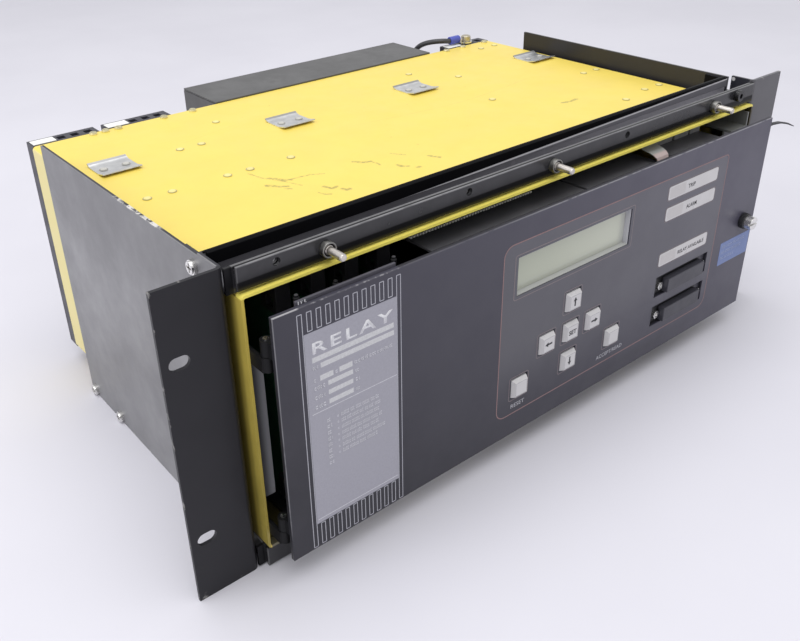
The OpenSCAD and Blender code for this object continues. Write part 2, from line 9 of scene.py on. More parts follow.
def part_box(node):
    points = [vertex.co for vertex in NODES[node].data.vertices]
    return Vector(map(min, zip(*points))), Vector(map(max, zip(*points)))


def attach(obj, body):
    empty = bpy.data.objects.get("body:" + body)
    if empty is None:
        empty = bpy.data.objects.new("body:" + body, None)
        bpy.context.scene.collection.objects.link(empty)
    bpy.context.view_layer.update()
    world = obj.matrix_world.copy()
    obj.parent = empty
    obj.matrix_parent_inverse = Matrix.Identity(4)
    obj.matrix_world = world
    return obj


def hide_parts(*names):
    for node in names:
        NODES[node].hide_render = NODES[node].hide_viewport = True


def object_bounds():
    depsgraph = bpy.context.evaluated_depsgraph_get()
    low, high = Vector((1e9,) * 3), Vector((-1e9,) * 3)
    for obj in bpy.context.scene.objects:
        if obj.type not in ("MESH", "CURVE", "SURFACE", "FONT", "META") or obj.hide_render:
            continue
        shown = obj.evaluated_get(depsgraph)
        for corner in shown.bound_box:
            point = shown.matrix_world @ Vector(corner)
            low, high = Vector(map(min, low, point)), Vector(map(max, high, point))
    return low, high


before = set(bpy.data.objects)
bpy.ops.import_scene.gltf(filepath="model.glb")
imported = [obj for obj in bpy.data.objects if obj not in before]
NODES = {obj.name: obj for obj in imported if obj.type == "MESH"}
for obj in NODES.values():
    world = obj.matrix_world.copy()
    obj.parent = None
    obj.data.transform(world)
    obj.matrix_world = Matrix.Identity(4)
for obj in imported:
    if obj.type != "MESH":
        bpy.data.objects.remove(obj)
CAD_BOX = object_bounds()
MM = 0.001
SCENE = bpy.context.scene
SCENE.view_settings.view_transform = "Standard"
SCENE.view_settings.look = "None"

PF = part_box("front_panel")[0].y / MM      # front face of the panel
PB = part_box("front_panel")[1].y / MM      # back face of the panel
RNG = random.Random(7)


# --------------------------------------------------------------------------
# camera
# --------------------------------------------------------------------------
cam_data = bpy.data.cameras.new("camera")
cam = bpy.data.objects.new("camera", cam_data)
SCENE.collection.objects.link(cam)
SCENE.camera = cam
cam_data.sensor_fit = "HORIZONTAL"
cam_data.sensor_width = 36.0
cam_data.lens = 871.80 / 800.0 * 36.0
cam_data.shift_x = 0.02735
cam_data.shift_y = -0.0446
cam_data.clip_start = 0.01
cam_data.clip_end = 50.0
cam.matrix_world = Matrix((
    (0.77826, 0.31858, -0.54115, -0.35785),
    (-0.62758, 0.36403, -0.68822, -0.29843),
    (-0.02225, 0.87522, 0.48323, 0.25926),
    (0, 0, 0, 1)))


# --------------------------------------------------------------------------
# material helpers
# --------------------------------------------------------------------------
class Mat:
    """A Principled material with a few node shortcuts. Coordinates are the part's own, in metres."""

    def __init__(self, name, color=(0.5, 0.5, 0.5), rough=0.5, metal=0.0, spec=0.5, **more):
        self.m = bpy.data.materials.new(name)
        self.m.use_nodes = True
        self.nt = self.m.node_tree
        self.b = self.nt.nodes["Principled BSDF"]
        self.b.inputs["Base Color"].default_value = (*color, 1)
        self.b.inputs["Roughness"].default_value = rough
        self.b.inputs["Metallic"].default_value = metal
        self.b.inputs["Specular IOR Level"].default_value = spec
        for k, v in more.items():
            self.b.inputs[k].default_value = v
        self.P = self.node("ShaderNodeTexCoord").outputs["Object"]
        self._xyz = None

    def node(self, kind, **attrs):
        n = self.nt.nodes.new(kind)
        for k, v in attrs.items():
            setattr(n, k, v)
        return n

    def put(self, sock, value):
        if hasattr(value, "is_output"):
            self.nt.links.new(value, sock)
        elif hasattr(value, "__len__") and len(value) == 3 and sock.type == "RGBA":
            sock.default_value = (*value, 1)
        else:
            sock.default_value = value

    def math(self, op, a, b=0.0, c=0.0, clamp=False):
        n = self.node("ShaderNodeMath", operation=op, use_clamp=clamp)
        for i, v in enumerate((a, b, c)):
            self.put(n.inputs[i], v)
        return n.outputs[0]

    @property
    def xyz(self):
        if self._xyz is None:
            s = self.node("ShaderNodeSeparateXYZ")
            self.put(s.inputs[0], self.P)
            self._xyz = (s.outputs[0], s.outputs[1], s.outputs[2])
        return self._xyz

    def scaled(self, sx, sy, sz, vec=None, rot=(0, 0, 0)):
        n = self.node("ShaderNodeMapping")
        self.put(n.inputs["Vector"], vec if vec is not None else self.P)
        n.inputs["Scale"].default_value = (sx, sy, sz)
        n.inputs["Rotation"].default_value = rot
        return n.outputs[0]

    def noise(self, scale, detail=3.0, rough=0.5, vec=None, distortion=0.0):
        n = self.node("ShaderNodeTexNoise")
        self.put(n.inputs["Vector"], vec if vec is not None else self.P)
        n.inputs["Scale"].default_value = scale
        n.inputs["Detail"].default_value = detail
        n.inputs["Roughness"].default_value = rough
        n.inputs["Distortion"].default_value = distortion
        return n.outputs["Fac"]

    def cells(self, scale, vec=None, feature="F1"):
        n = self.node("ShaderNodeTexVoronoi", feature=feature)
        self.put(n.inputs["Vector"], vec if vec is not None else self.P)
        n.inputs["Scale"].default_value = scale
        return n.outputs["Distance"]

    def step(self, v, lo, hi, out0=0.0, out1=1.0):
        n = self.node("ShaderNodeMapRange", interpolation_type="SMOOTHSTEP")
        self.put(n.inputs["Value"], v)
        n.inputs["From Min"].default_value = lo
        n.inputs["From Max"].default_value = hi
        n.inputs["To Min"].default_value = out0
        n.inputs["To Max"].default_value = out1
        return n.outputs["Result"]

    def mix(self, fac, a, b):
        n = self.node("ShaderNodeMix", data_type="RGBA")
        self.put(n.inputs["Factor"], fac)
        self.put(n.inputs["A"] if False else n.inputs[6], a)
        self.put(n.inputs[7], b)
        return n.outputs[2]

    def mul(self, *vs):
        out = vs[0]
        for v in vs[1:]:
            out = self.math("MULTIPLY", out, v)
        return out

    def band(self, v, lo, hi, soft):
        """1 where lo < v < hi, with soft edges."""
        return self.mul(self.step(v, lo - soft, lo + soft), self.step(v, hi - soft, hi + soft, 1.0, 0.0))

    def bump(self, height, distance, strength=1.0, normal=None):
        n = self.node("ShaderNodeBump")
        self.put(n.inputs["Height"], height)
        n.inputs["Distance"].default_value = distance
        n.inputs["Strength"].default_value = strength
        if normal is not None:
            self.put(n.inputs["Normal"], normal)
        return n.outputs["Normal"]

    def set(self, name, value):
        self.put(self.b.inputs[name], value)
        return self


def varied(m, color, amount, scale=60.0, dark=None):
    """Colour with a soft cloudy variation of the given amount."""
    n = m.noise(scale, 4.0, 0.6)
    lo = tuple(c * (1 - amount) for c in color) if dark is None else dark
    hi = tuple(min(1.0, c * (1 + amount)) for c in color)
    return m.mix(m.step(n, 0.3, 0.7), lo, hi)


def paint(name, color, rough=0.45, grain=900.0, depth=0.00003, vary=0.06, spec=0.5, dust=0.0, dust_color=(0.5, 0.5, 0.52)):
    """Powder coat: fine orange-peel bump, slight cloudiness, a little dust."""
    m = Mat(name, color, rough, spec=spec)
    col = varied(m, color, vary, 35.0)
    if dust > 0:
        d = m.mul(m.step(m.noise(14.0, 5.0, 0.65), 0.42, 0.75), m.step(m.noise(160.0, 3.0, 0.6), 0.3, 0.75))
        col = m.mix(m.math("MULTIPLY", d, dust), col, dust_color)
    m.set("Base Color", col)
    m.set("Roughness", m.step(m.noise(45.0, 4.0, 0.6), 0.2, 0.8, rough - 0.06, rough + 0.07))
    m.set("Normal", m.bump(m.noise(grain, 2.0, 0.5), depth, 0.55))
    m.col = col
    return m


def metal(name, color, rough=0.3, brushed=(1, 1, 1), scale=700.0, vary=0.12):
    m = Mat(name, color, rough, metal=1.0)
    m.set("Base Color", varied(m, color, vary, 180.0))
    v = m.scaled(*brushed)
    m.set("Roughness", m.step(m.noise(scale, 3.0, 0.6, v), 0.25, 0.75, max(0.05, rough - 0.1), rough + 0.14))
    m.set("Normal", m.bump(m.noise(scale, 3.0, 0.6, v), 0.00002, 0.4))
    return m


def plastic(name, color, rough=0.5, grain=1500.0, depth=0.00002, vary=0.05, spec=0.5):
    m = Mat(name, color, rough, spec=spec)
    m.set("Base Color", varied(m, color, vary, 70.0))
    m.set("Roughness", m.step(m.noise(120.0, 3.0, 0.55), 0.25, 0.75, rough - 0.06, rough + 0.08))
    m.set("Normal", m.bump(m.noise(grain, 2.0, 0.5), depth, 0.5))
    return m


def printed(name, color, rough=0.55, vary=0.08):
    """Screen-print ink."""
    m = Mat(name, color, rough)
    m.set("Base Color", varied(m, color, vary, 900.0))
    m.set("Normal", m.bump(m.noise(3000.0, 2.0), 0.000006, 0.4))
    return m


def use(m, *names):
    for n in names:
        o = NODES[n]
        o.data.materials.clear()
        o.data.materials.append(m.m if isinstance(m, Mat) else m)


# --------------------------------------------------------------------------
# mesh helpers
# --------------------------------------------------------------------------
PIECES = []


def piece(name, bm, material, body, smooth=False):
    bmesh.ops.recalc_face_normals(bm, faces=bm.faces)
    me = bpy.data.meshes.new(name)
    bm.to_mesh(me)
    bm.free()
    o = bpy.data.objects.new(name, me)
    SCENE.collection.objects.link(o)
    me.materials.append(material.m)
    if smooth:
        for p in me.polygons:
            p.use_smooth = True
    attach(o, body)
    PIECES.append(o)
    return o


def add_box(bm, x0, x1, y0, y1, z0, z1):
    v = [bm.verts.new((x * MM, y * MM, z * MM)) for x in (x0, x1) for y in (y0, y1) for z in (z0, z1)]
    for f in ((0, 1, 3, 2), (4, 6, 7, 5), (0, 4, 5, 1), (2, 3, 7, 6), (0, 2, 6, 4), (1, 5, 7, 3)):
        bm.faces.new([v[i] for i in f])
    return v


def rounded(x0, x1, z0, z1, r, n=6):
    """Points of a rounded rectangle, in X and Z; r is one radius, or four from the upper right corner round to the lower right."""
    pts = []
    rs = r if isinstance(r, tuple) else (r,) * 4
    for q, sx, sz, a0 in zip(rs, (1, -1, -1, 1), (1, 1, -1, -1), (0, 90, 180, 270)):
        cx = x1 - q if sx > 0 else x0 + q
        cz = z1 - q if sz > 0 else z0 + q
        for i in range(n + 1):
            a = math.radians(a0 + 90.0 * i / n)
            pts.append((cx + q * math.cos(a), cz + q * math.sin(a)))
    return pts


def add_prism(bm, pts, y0, y1):
    """Closed prism of an outline in X and Z."""
    a = [bm.verts.new((x * MM, y0 * MM, z * MM)) for x, z in pts]
    b = [bm.verts.new((x * MM, y1 * MM, z * MM)) for x, z in pts]
    bm.faces.new(a)
    bm.faces.new(b[::-1])
    for i in range(len(pts)):
        j = (i + 1) % len(pts)
        bm.faces.new((a[i], b[i], b[j], a[j]))


def add_ring(bm, outer, inner, y0, y1):
    """Closed frame between two outlines with equal point counts."""
    n = len(outer)
    loops = [[bm.verts.new((x * MM, y * MM, z * MM)) for x, z in pts] for pts, y in ((outer, y0), (inner, y0), (inner, y1), (outer, y1))]
    for i in range(n):
        j = (i + 1) % n
        for k in range(4):
            p, q = loops[k], loops[(k + 1) % 4]
            bm.faces.new((p[i], p[j], q[j], q[i]))


def outline(bm, x0, x1, z0, z1, r, w, y0, y1):
    inner = tuple(max(0.05, q - w) for q in (r if isinstance(r, tuple) else (r,) * 4))
    add_ring(bm, rounded(x0, x1, z0, z1, r), rounded(x0 + w, x1 - w, z0 + w, z1 - w, inner), y0, y1)


def add_lathe(bm, profile, centre, axis="Y", n=32, start=0.0):
    """Closed turned shape from (radius, position) pairs along an axis; both ends are closed."""
    rings = []
    for r, t in profile:
        ring = []
        for i in range(n):
            a = start + 2 * math.pi * i / n
            u, w = r * math.cos(a), r * math.sin(a)
            p = {"X": (t, u, w), "Y": (u, t, w), "Z": (u, w, t)}[axis]
            ring.append(bm.verts.new(((centre[0] + p[0]) * MM, (centre[1] + p[1]) * MM, (centre[2] + p[2]) * MM)))
        rings.append(ring)
    bm.faces.new(rings[0])
    bm.faces.new(rings[-1][::-1])
    for a, b in zip(rings, rings[1:]):
        for i in range(n):
            j = (i + 1) % n
            bm.faces.new((a[i], a[j], b[j], b[i]))


def add_text(bm, words, x, z, height, y, thick=0.03, width=None, spacing=1.0, facing="front", bold=0.0):
    """Flat lettering with its middle at (x, z); y is the face that carries it. Facing up, z is a place along Y and y a height."""
    cu = bpy.data.curves.new("font", "FONT")
    cu.body = words
    cu.size = 1.0
    cu.resolution_u = 3
    cu.space_character = spacing
    cu.offset = bold
    tmp = bpy.data.objects.new("font", cu)
    SCENE.collection.objects.link(tmp)
    bpy.context.view_layer.update()
    me = bpy.data.meshes.new_from_object(tmp.evaluated_get(bpy.context.evaluated_depsgraph_get()))
    bpy.data.objects.remove(tmp)
    bpy.data.curves.remove(cu)
    t = bmesh.new()
    t.from_mesh(me)
    bpy.data.meshes.remove(me)
    bmesh.ops.remove_doubles(t, verts=t.verts, dist=1e-5)
    xs = [v.co.x for v in t.verts]
    ys = [v.co.y for v in t.verts]
    sy = height / (max(ys) - min(ys))
    sx = sy if width is None else width / (max(xs) - min(xs))
    cx, cy = (max(xs) + min(xs)) / 2, (max(ys) + min(ys)) / 2
    geom = bmesh.ops.extrude_face_region(t, geom=list(t.faces))
    raised = {g for g in geom["geom"] if isinstance(g, bmesh.types.BMVert)}
    for v in t.verts:
        u, w, h = (v.co.x - cx) * sx, (v.co.y - cy) * sy, (thick if v in raised else 0.0)
        if facing == "front":
            v.co = Vector((x + u, y - h, z + w)) * MM
        elif facing == "rear":
            v.co = Vector((x - u, y + h, z + w)) * MM
        else:
            v.co = Vector((x + u, z + w, y + h)) * MM
    bmesh.ops.recalc_face_normals(t, faces=t.faces)
    out = bpy.data.meshes.new("letters")
    t.to_mesh(out)
    t.free()
    bm.from_mesh(out)
    bpy.data.meshes.remove(out)


def text_piece(name, words, x, z, height, y, material, body, width=None, spacing=1.0, thick=0.03, facing="front", bold=0.0):
    bm = bmesh.new()
    add_text(bm, words, x, z, height, y, thick, width, spacing, facing, bold)
    return piece(name, bm, material, body)


def smooth_path(pts, per=5):
    """Catmull-Rom points through a route."""
    p = [Vector(q) for q in pts]
    p = [p[0] * 2 - p[1]] + p + [p[-1] * 2 - p[-2]]
    out = []
    for i in range(1, len(p) - 2):
        a, b, c, d = p[i - 1:i + 3]
        for k in range(per):
            t = k / per
            out.append(0.5 * ((2 * b) + (c - a) * t + (2 * a - 5 * b + 4 * c - d) * t * t + (3 * b - a - 3 * c + d) * t ** 3))
    out.append(p[-2])
    return out


def add_tube(bm, pts, r, n=20):
    """Closed round tube along points in millimetres."""
    rings = []
    up = None
    for i, q in enumerate(pts):
        t = (pts[min(i + 1, len(pts) - 1)] - pts[max(i - 1, 0)]).normalized()
        up = (Vector((0.3, 0.2, 0.93)) if up is None else up)
        up = (up - t * up.dot(t)).normalized()
        side = t.cross(up)
        rr = r(i) if callable(r) else r
        rings.append([bm.verts.new((q + (up * math.cos(2 * math.pi * k / n) + side * math.sin(2 * math.pi * k / n)) * rr) * MM) for k in range(n)])
    bm.faces.new(rings[0])
    bm.faces.new(rings[-1][::-1])
    for a, b in zip(rings, rings[1:]):
        for k in range(n):
            m = (k + 1) % n
            bm.faces.new((a[k], a[m], b[m], b[k]))


def soften(names, width, segments=2, angle=35):
    """Small rounded edges on carried-over parts, so that they catch the light."""
    for n in names:
        o = NODES[n]
        w = o.modifiers.new("weld", "WELD")
        w.merge_threshold = 1e-6
        d = o.modifiers.new("whole_faces", "DECIMATE")
        d.decimate_type = "DISSOLVE"
        d.angle_limit = math.radians(0.6)
        b = o.modifiers.new("edge", "BEVEL")
        b.width = width * MM
        b.segments = segments
        b.limit_method = "ANGLE"
        b.angle_limit = math.radians(angle)
        b.use_clamp_overlap = True
        b.harden_normals = False
        s = o.modifiers.new("normals", "WEIGHTED_NORMAL")
        s.keep_sharp = False


# --------------------------------------------------------------------------
# materials
# --------------------------------------------------------------------------
# Yellow powder coat with scuffs, a long faint scratch and grime, and painted shade and painted light near the edges
YELLOW = (0.82, 0.636, 0.12)
yellow = paint("yellow_paint", YELLOW, 0.38, 1100.0, 0.00002, 0.02)
col = yellow.col
x, y, z = yellow.xyz
top = yellow.step(z, 0.0738, 0.0742)
fine = yellow.noise(420.0, 4.0, 0.7, yellow.scaled(1, 2.2, 1))


def stroke_gap(m, x, y, pts):
    """Squared distance from a broken line in X and Y, given in millimetres."""
    out = None
    for (a, b), (c, d) in zip(pts, pts[1:]):
        a, b, c, d = a * MM, b * MM, c * MM, d * MM
        u, w = c - a, d - b
        q = u * u + w * w
        t = m.math("MULTIPLY_ADD", y, w / q, m.math("MULTIPLY_ADD", x, u / q, -(a * u + b * w) / q))
        t = m.math("ADD", t, 0.0, clamp=True)
        gx = m.math("ADD", x, m.math("MULTIPLY_ADD", t, -u, -a))
        gy = m.math("ADD", y, m.math("MULTIPLY_ADD", t, -w, -b))
        g = m.math("MULTIPLY_ADD", gx, gx, m.mul(gy, gy))
        out = g if out is None else m.math("MINIMUM", out, g)
    return out


STROKES = {
    "thin": [[(-124, 117.1), (-122, 106.6), (-117.8, 98.6), (-113, 93.8), (-105.3, 93), (-98.3, 91.9), (-91.2, 88)], [(-117.8, 98.6), (-114.6, 92), (-110.9, 82.1)],
             [(-59.5, 85.2), (-58.6, 80.4), (-59, 76.7)], [(-120.5, 84.5), (-117.9, 81.4)], [(-42.4, 87.8), (-37.1, 79.7)], [(-110, 67.1), (-108.6, 62.6), (-106.1, 60.9)]],
    "broad": [[(-119.4, 103), (-116.8, 100), (-114.8, 96.4)], [(-115.4, 95), (-111, 93)], [(-126, 94.6), (-120.8, 88.2), (-117.6, 86)], [(-102.8, 72), (-100.8, 67), (-97.6, 67.6)],
              [(-97, 62.8), (-96.2, 60), (-93.8, 60)], [(-67.4, 91.4), (-63.8, 86.6), (-59.5, 85.2)], [(-51.4, 69.8), (-50.6, 66.4), (-48.4, 64.5)], [(-27.9, 69.1), (-24.9, 63.1)], [(-45.1, 59.6), (-43.5, 59)],
              [(110, 84), (117, 82.5), (124, 83.5)]]}
jag = yellow.math("MULTIPLY_ADD", yellow.noise(330.0, 3.0, 0.6), 0.0022, -0.0011)
marks = None
for kind, near, far, share in (("thin", 0.0002, 0.0010, 0.50), ("broad", 0.0004, 0.0019, 0.62)):
    gap = None
    for line in STROKES[kind]:
        g = stroke_gap(yellow, x, y, line)
        gap = g if gap is None else yellow.math("MINIMUM", gap, g)
    d = yellow.math("ADD", yellow.math("SQRT", gap), jag)
    k = yellow.mul(yellow.step(d, near, far, 1.0, 0.0), yellow.step(fine, 0.36, 0.58, 0.15, 1.0), share)
    marks = k if marks is None else yellow.math("MAXIMUM", marks, k)
specks = yellow.mul(yellow.step(yellow.noise(230.0, 2.0, 0.5), 0.72, 0.78), yellow.step(yellow.noise(9.0, 2.0), 0.5, 0.7), 0.5)
marks = yellow.mul(yellow.math("MAXIMUM", marks, specks), top)
col = yellow.mix(marks, col, (0.12, 0.10, 0.035))
# long wavy scratch
wave = yellow.math("ADD", y, yellow.mul(yellow.math("SINE", yellow.mul(x, 26.0)), 0.006))
scratch = yellow.mul(yellow.band(wave, 0.1395, 0.1401, 0.0004), yellow.band(x, -0.02, 0.14, 0.02), top, yellow.step(fine, 0.35, 0.6))
wave2 = yellow.math("SUBTRACT", y, yellow.mul(x, 0.22))
scratch2 = yellow.mul(yellow.band(wave2, 0.2176, 0.2180, 0.0003), yellow.band(x, -0.13, -0.085, 0.012), top, yellow.step(fine, 0.35, 0.6))
col = yellow.mix(yellow.mul(yellow.math("MAXIMUM", scratch, scratch2), 0.30), col, (0.34, 0.26, 0.05))
grime = yellow.mul(yellow.step(yellow.noise(18.0, 5.0, 0.65), 0.45, 0.8), 0.06)
col = yellow.mix(grime, col, (0.50, 0.40, 0.08))
# darker down the left front edge, more of it lower down: painted shade where the panel keeps light off the edge
leftrim = yellow.mul(yellow.step(x, -0.2014, -0.2008, 1.0, 0.0), yellow.step(y, 0.001, 0.004, 1.0, 0.0))
left_rim_shade = yellow.mul(leftrim, yellow.step(z, -0.075, 0.075, 0.85, 0.40), yellow.step(yellow.noise(60.0, 4.0, 0.65), 0.2, 0.7, 0.75, 1.0))
col = yellow.mix(left_rim_shade, col, (0.26, 0.21, 0.05))
# near black inside the left front edge by the ear, more so further back: painted contact shadow between ear and sleeve
nearear = yellow.mul(yellow.step(x, -0.2024, -0.2020, 1.0, 0.0), yellow.band(y, -0.0016, 0.0600, 0.0012))
ear_gap_shadow = yellow.math("MAXIMUM", yellow.math("MAXIMUM", yellow.step(y, -0.0016, 0.0065, 0.0, 0.72), yellow.step(y, 0.009, 0.018, 0.0, 0.93)), yellow.step(z, 0.0722, 0.0732, 0.0, 0.93))
col = yellow.mix(yellow.mul(nearear, ear_gap_shadow), col, (0.012, 0.011, 0.006))
# painted shade inside the lower left corner, dark grey at the very front and near black further in
lower_corner_shade = yellow.mul(yellow.band(x, -0.2006, -0.1660, 0.0004), yellow.step(z, -0.0718, -0.0712, 1.0, 0.0), yellow.step(y, 0.120, 0.160, 1.0, 0.0))
col = yellow.mix(yellow.mul(lower_corner_shade, 0.94), col, yellow.mix(yellow.step(y, -0.0002, 0.0004), (0.13, 0.125, 0.095), (0.012, 0.012, 0.010)))
# brighter yellow on the top's front band ahead of the strip: painted light
lit_brow = yellow.mul(yellow.step(z, 0.0726, 0.0730), yellow.step(y, -0.0008, 0.0002, 1.0, 0.0))
col = yellow.mix(yellow.mul(lit_brow, 0.9), col, (1.0, 0.86, 0.17))
# paler yellow on the left side behind the side plate: painted light
rear_side_light = yellow.mul(yellow.step(x, -0.2022, -0.2018, 1.0, 0.0), yellow.step(y, 0.216, 0.220), yellow.step(z, 0.0730, 0.0740, 1.0, 0.0))
col = yellow.mix(yellow.mul(rear_side_light, 0.65), col, (0.74, 0.68, 0.36))
# near black on the right wall's front part below the top: painted shade
right_wall_shade = yellow.mul(yellow.step(x, 0.2004, 0.2008), yellow.step(y, 0.020, 0.024, 1.0, 0.0), yellow.step(z, 0.0722, 0.0728, 1.0, 0.0))
col = yellow.mix(yellow.mul(right_wall_shade, 0.95), col, (0.010, 0.010, 0.011))
yellow.set("Base Color", col)

# Charcoal side plates: outer faces lighter as painted light, with smudges; inner faces and the left ear darker as
# painted shade, the right ear lighter as a painted reflection; bare chips along the upper edge and at the ears' corners
CHARCOAL = (0.046, 0.045, 0.051)
plate = paint("charcoal_paint", CHARCOAL, 0.40, 1300.0, 0.00003, 0.07)
x, y, z = plate.xyz
ax = plate.math("ABSOLUTE", x)
left = plate.step(x, -0.01, 0.01, 1.0, 0.0)
chipn = plate.noise(260.0, 4.0, 0.7)
chipw = plate.math("ADD", 0.0871, plate.mul(plate.noise(110.0, 3.0, 0.7), -0.0014))
near_top = plate.step(plate.math("SUBTRACT", z, chipw), 0.0, 0.0006)
chips = plate.mul(near_top, left, plate.band(y, 0.058, 0.122, 0.004), plate.step(chipn, 0.46, 0.52), plate.step(plate.noise(38.0, 2.0, 0.5), 0.36, 0.46))
edge = plate.mul(plate.step(z, 0.0866, 0.0872), plate.step(plate.noise(120.0, 3.0, 0.6), 0.64, 0.70))
foot = plate.mul(plate.step(z, -0.0878, -0.0868, 1.0, 0.0), plate.step(plate.noise(150.0, 3.0, 0.6), 0.60, 0.66))
corner = plate.mul(plate.step(ax, 0.2365, 0.2395), plate.step(plate.math("ABSOLUTE", z), 0.083, 0.0865), plate.step(plate.noise(300.0, 3.0, 0.6), 0.55, 0.60))
earrim = plate.mul(plate.step(ax, 0.2408, 0.2412), plate.step(plate.noise(130.0, 3.0, 0.65), 0.58, 0.66))
outer = plate.mul(plate.step(y, 0.0026, 0.0034), plate.step(ax, 0.2076, 0.2081))
inner = plate.mul(plate.step(y, 0.0026, 0.0034), plate.step(ax, 0.2076, 0.2081, 1.0, 0.0))
# outer faces always painted lighter as painted light, more so in cloudy smudges
smudge_and_side_light = plate.step(plate.noise(10.0, 5.0, 0.7), 0.35, 0.85, 0.30, 0.62)
col = plate.mix(plate.mul(outer, smudge_and_side_light), plate.col, (0.44, 0.437, 0.450))
# inner faces painted darker: painted shade
col = plate.mix(plate.mul(inner, 0.92), col, (0.0085, 0.0090, 0.0165))
# ear fronts: the left ear painted darker as painted shade, the right ear lighter as a painted reflection
ear = plate.step(y, 0.0026, 0.0034, 1.0, 0.0)
ear_lit_and_shaded = plate.mix(left, (0.104, 0.102, 0.112), (0.0125, 0.012, 0.0155))
col = plate.mix(plate.mul(ear, 0.95), col, ear_lit_and_shaded)
streak = plate.mul(plate.step(plate.noise(1.0, 3.0, 0.6, plate.scaled(20, 60, 700)), 0.66, 0.72), plate.step(plate.noise(7.0, 2.0), 0.5, 0.65), outer, 0.25)
col = plate.mix(streak, col, (0.26, 0.26, 0.265))
wear = plate.math("MAXIMUM", plate.math("MAXIMUM", chips, plate.mul(edge, 0.5)), plate.math("MAXIMUM", plate.mul(foot, 0.5), plate.math("MAXIMUM", plate.mul(corner, 0.3), plate.mul(earrim, 0.3))))
col = plate.mix(wear, col, (0.62, 0.60, 0.57))
gy, gz = plate.math("SUBTRACT", y, 0.0150), plate.math("SUBTRACT", z, 0.0866)
spot = plate.mul(plate.step(plate.math("ADD", plate.mul(gy, gy), plate.mul(gz, gz)), 1.0e-6, 2.4e-6, 1.0, 0.0), plate.step(x, 0.2060, 0.2070), inner)
col = plate.mix(spot, col, (0.72, 0.71, 0.70))
plate.set("Base Color", col)
plate.set("Specular IOR Level", plate.math("SUBTRACT", 0.5, plate.mul(ear, left, 0.20)))

black = paint("black_paint", (0.013, 0.013, 0.015), 0.42, 1200.0, 0.00003, 0.10, dust=0.10, dust_color=(0.12, 0.12, 0.125))

hingem = paint("hinge_black", (0.007, 0.007, 0.008), 0.55, 1200.0, 0.00003, 0.10, spec=0.18)

# Rails and strips: semi-gloss, front edges lighter as rubbed paint and painted highlights; channel, gaps, rear wall and
# lower strip painted as light and shade
railp = paint("rail_paint", (0.030, 0.0295, 0.033), 0.22, 1200.0, 0.000012, 0.10, dust=0.10, dust_color=(0.12, 0.12, 0.125))
x, y, z = railp.xyz
az = railp.math("ABSOLUTE", z)
# patchy lighter front edges and ends: partly rubbed paint, partly painted highlights
rub_and_highlight = railp.mul(railp.step(railp.noise(90.0, 4.0, 0.65), 0.25, 0.60, 0.45, 1.0), railp.step(x, -0.10, 0.14, 1.0, 0.5))
lip = railp.mul(railp.step(az, 0.0873, 0.0877), railp.step(y, -0.0026, -0.0021, 1.0, 0.0), rub_and_highlight)
wall = railp.mul(railp.step(az, 0.0868, 0.0872), railp.band(y, -0.0004, 0.0018, 0.0002), rub_and_highlight)
ends = railp.mul(railp.step(railp.math("ABSOLUTE", x), 0.2018, 0.2021), railp.step(y, -0.0024, -0.0019, 1.0, 0.0))
# inside of the channel painted lighter grey, brighter to the right: painted light
inside = railp.mul(railp.band(y, 0.0016, 0.0209, 0.0002), railp.step(az, 0.0868, 0.0872, 1.0, 0.0))
col = railp.mix(railp.mul(inside, 0.85), railp.col, railp.mix(railp.step(x, -0.12, 0.20), (0.19, 0.187, 0.205), (0.50, 0.49, 0.53)))
# near black on the strip's top by the gap to the rail: painted shade
cleft = railp.mul(railp.step(az, 0.0868, 0.0872), railp.band(y, -0.0019, -0.0006, 0.0002))
col = railp.mix(railp.mul(cleft, 0.88), col, (0.005, 0.005, 0.006))
col = railp.mix(railp.mul(wall, 0.21), col, (0.46, 0.45, 0.46))
col = railp.mix(railp.mul(railp.math("MAXIMUM", lip, railp.mul(ends, 0.3)), 0.42), col, (0.50, 0.49, 0.50))
# rear wall's top edge and back face painted near black: painted shade
back = railp.mul(railp.step(y, 0.0200, 0.0204), railp.math("MAXIMUM", railp.step(az, 0.0864, 0.0870), railp.step(y, 0.0209, 0.0213)), railp.step(railp.math("ABSOLUTE", x), 0.2050, 0.2054, 1.0, 0.0))
col = railp.mix(railp.mul(back, 0.9), col, (0.004, 0.004, 0.005))
# rail ends by the side plates painted near black: painted shade
tail = railp.mul(railp.step(railp.math("ABSOLUTE", x), 0.2026, 0.2030), railp.step(y, 0.004, 0.008, 1.0, 0.0))
col = railp.mix(railp.mul(tail, 0.85), col, (0.005, 0.005, 0.006))
# the upper strip's lower half painted dark as painted shade over the sleeve's edge, its lowest part brownish as a
# painted reflection of the yellow sleeve
front = railp.mul(railp.step(y, -0.0030, -0.0024, 1.0, 0.0), railp.step(z, 0.0700, 0.0710))
low = railp.mul(front, railp.step(z, 0.0799, 0.0808, 1.0, 0.0))
col = railp.mix(railp.mul(low, 0.85), col, (0.006, 0.006, 0.0065))
col = railp.mix(railp.mul(front, railp.step(z, 0.0752, 0.0784, 0.80, 0.0)), col, (0.085, 0.075, 0.026))
railp.set("Base Color", col)
railp.set("Specular IOR Level", railp.math("SUBTRACT", 0.5, railp.mul(railp.math("MAXIMUM", railp.math("MAXIMUM", back, railp.mul(tail, 0.8)), railp.math("MAXIMUM", railp.mul(low, 0.85), railp.mul(cleft, 0.9))), 0.48)))
# seal: black rubber, its black also standing in as painted shade in the channel
seal = paint("seal_rubber_and_shade", (0.004, 0.004, 0.005), 0.70, 700.0, 0.00005, 0.10, spec=0.04)
x, y, z = seal.xyz
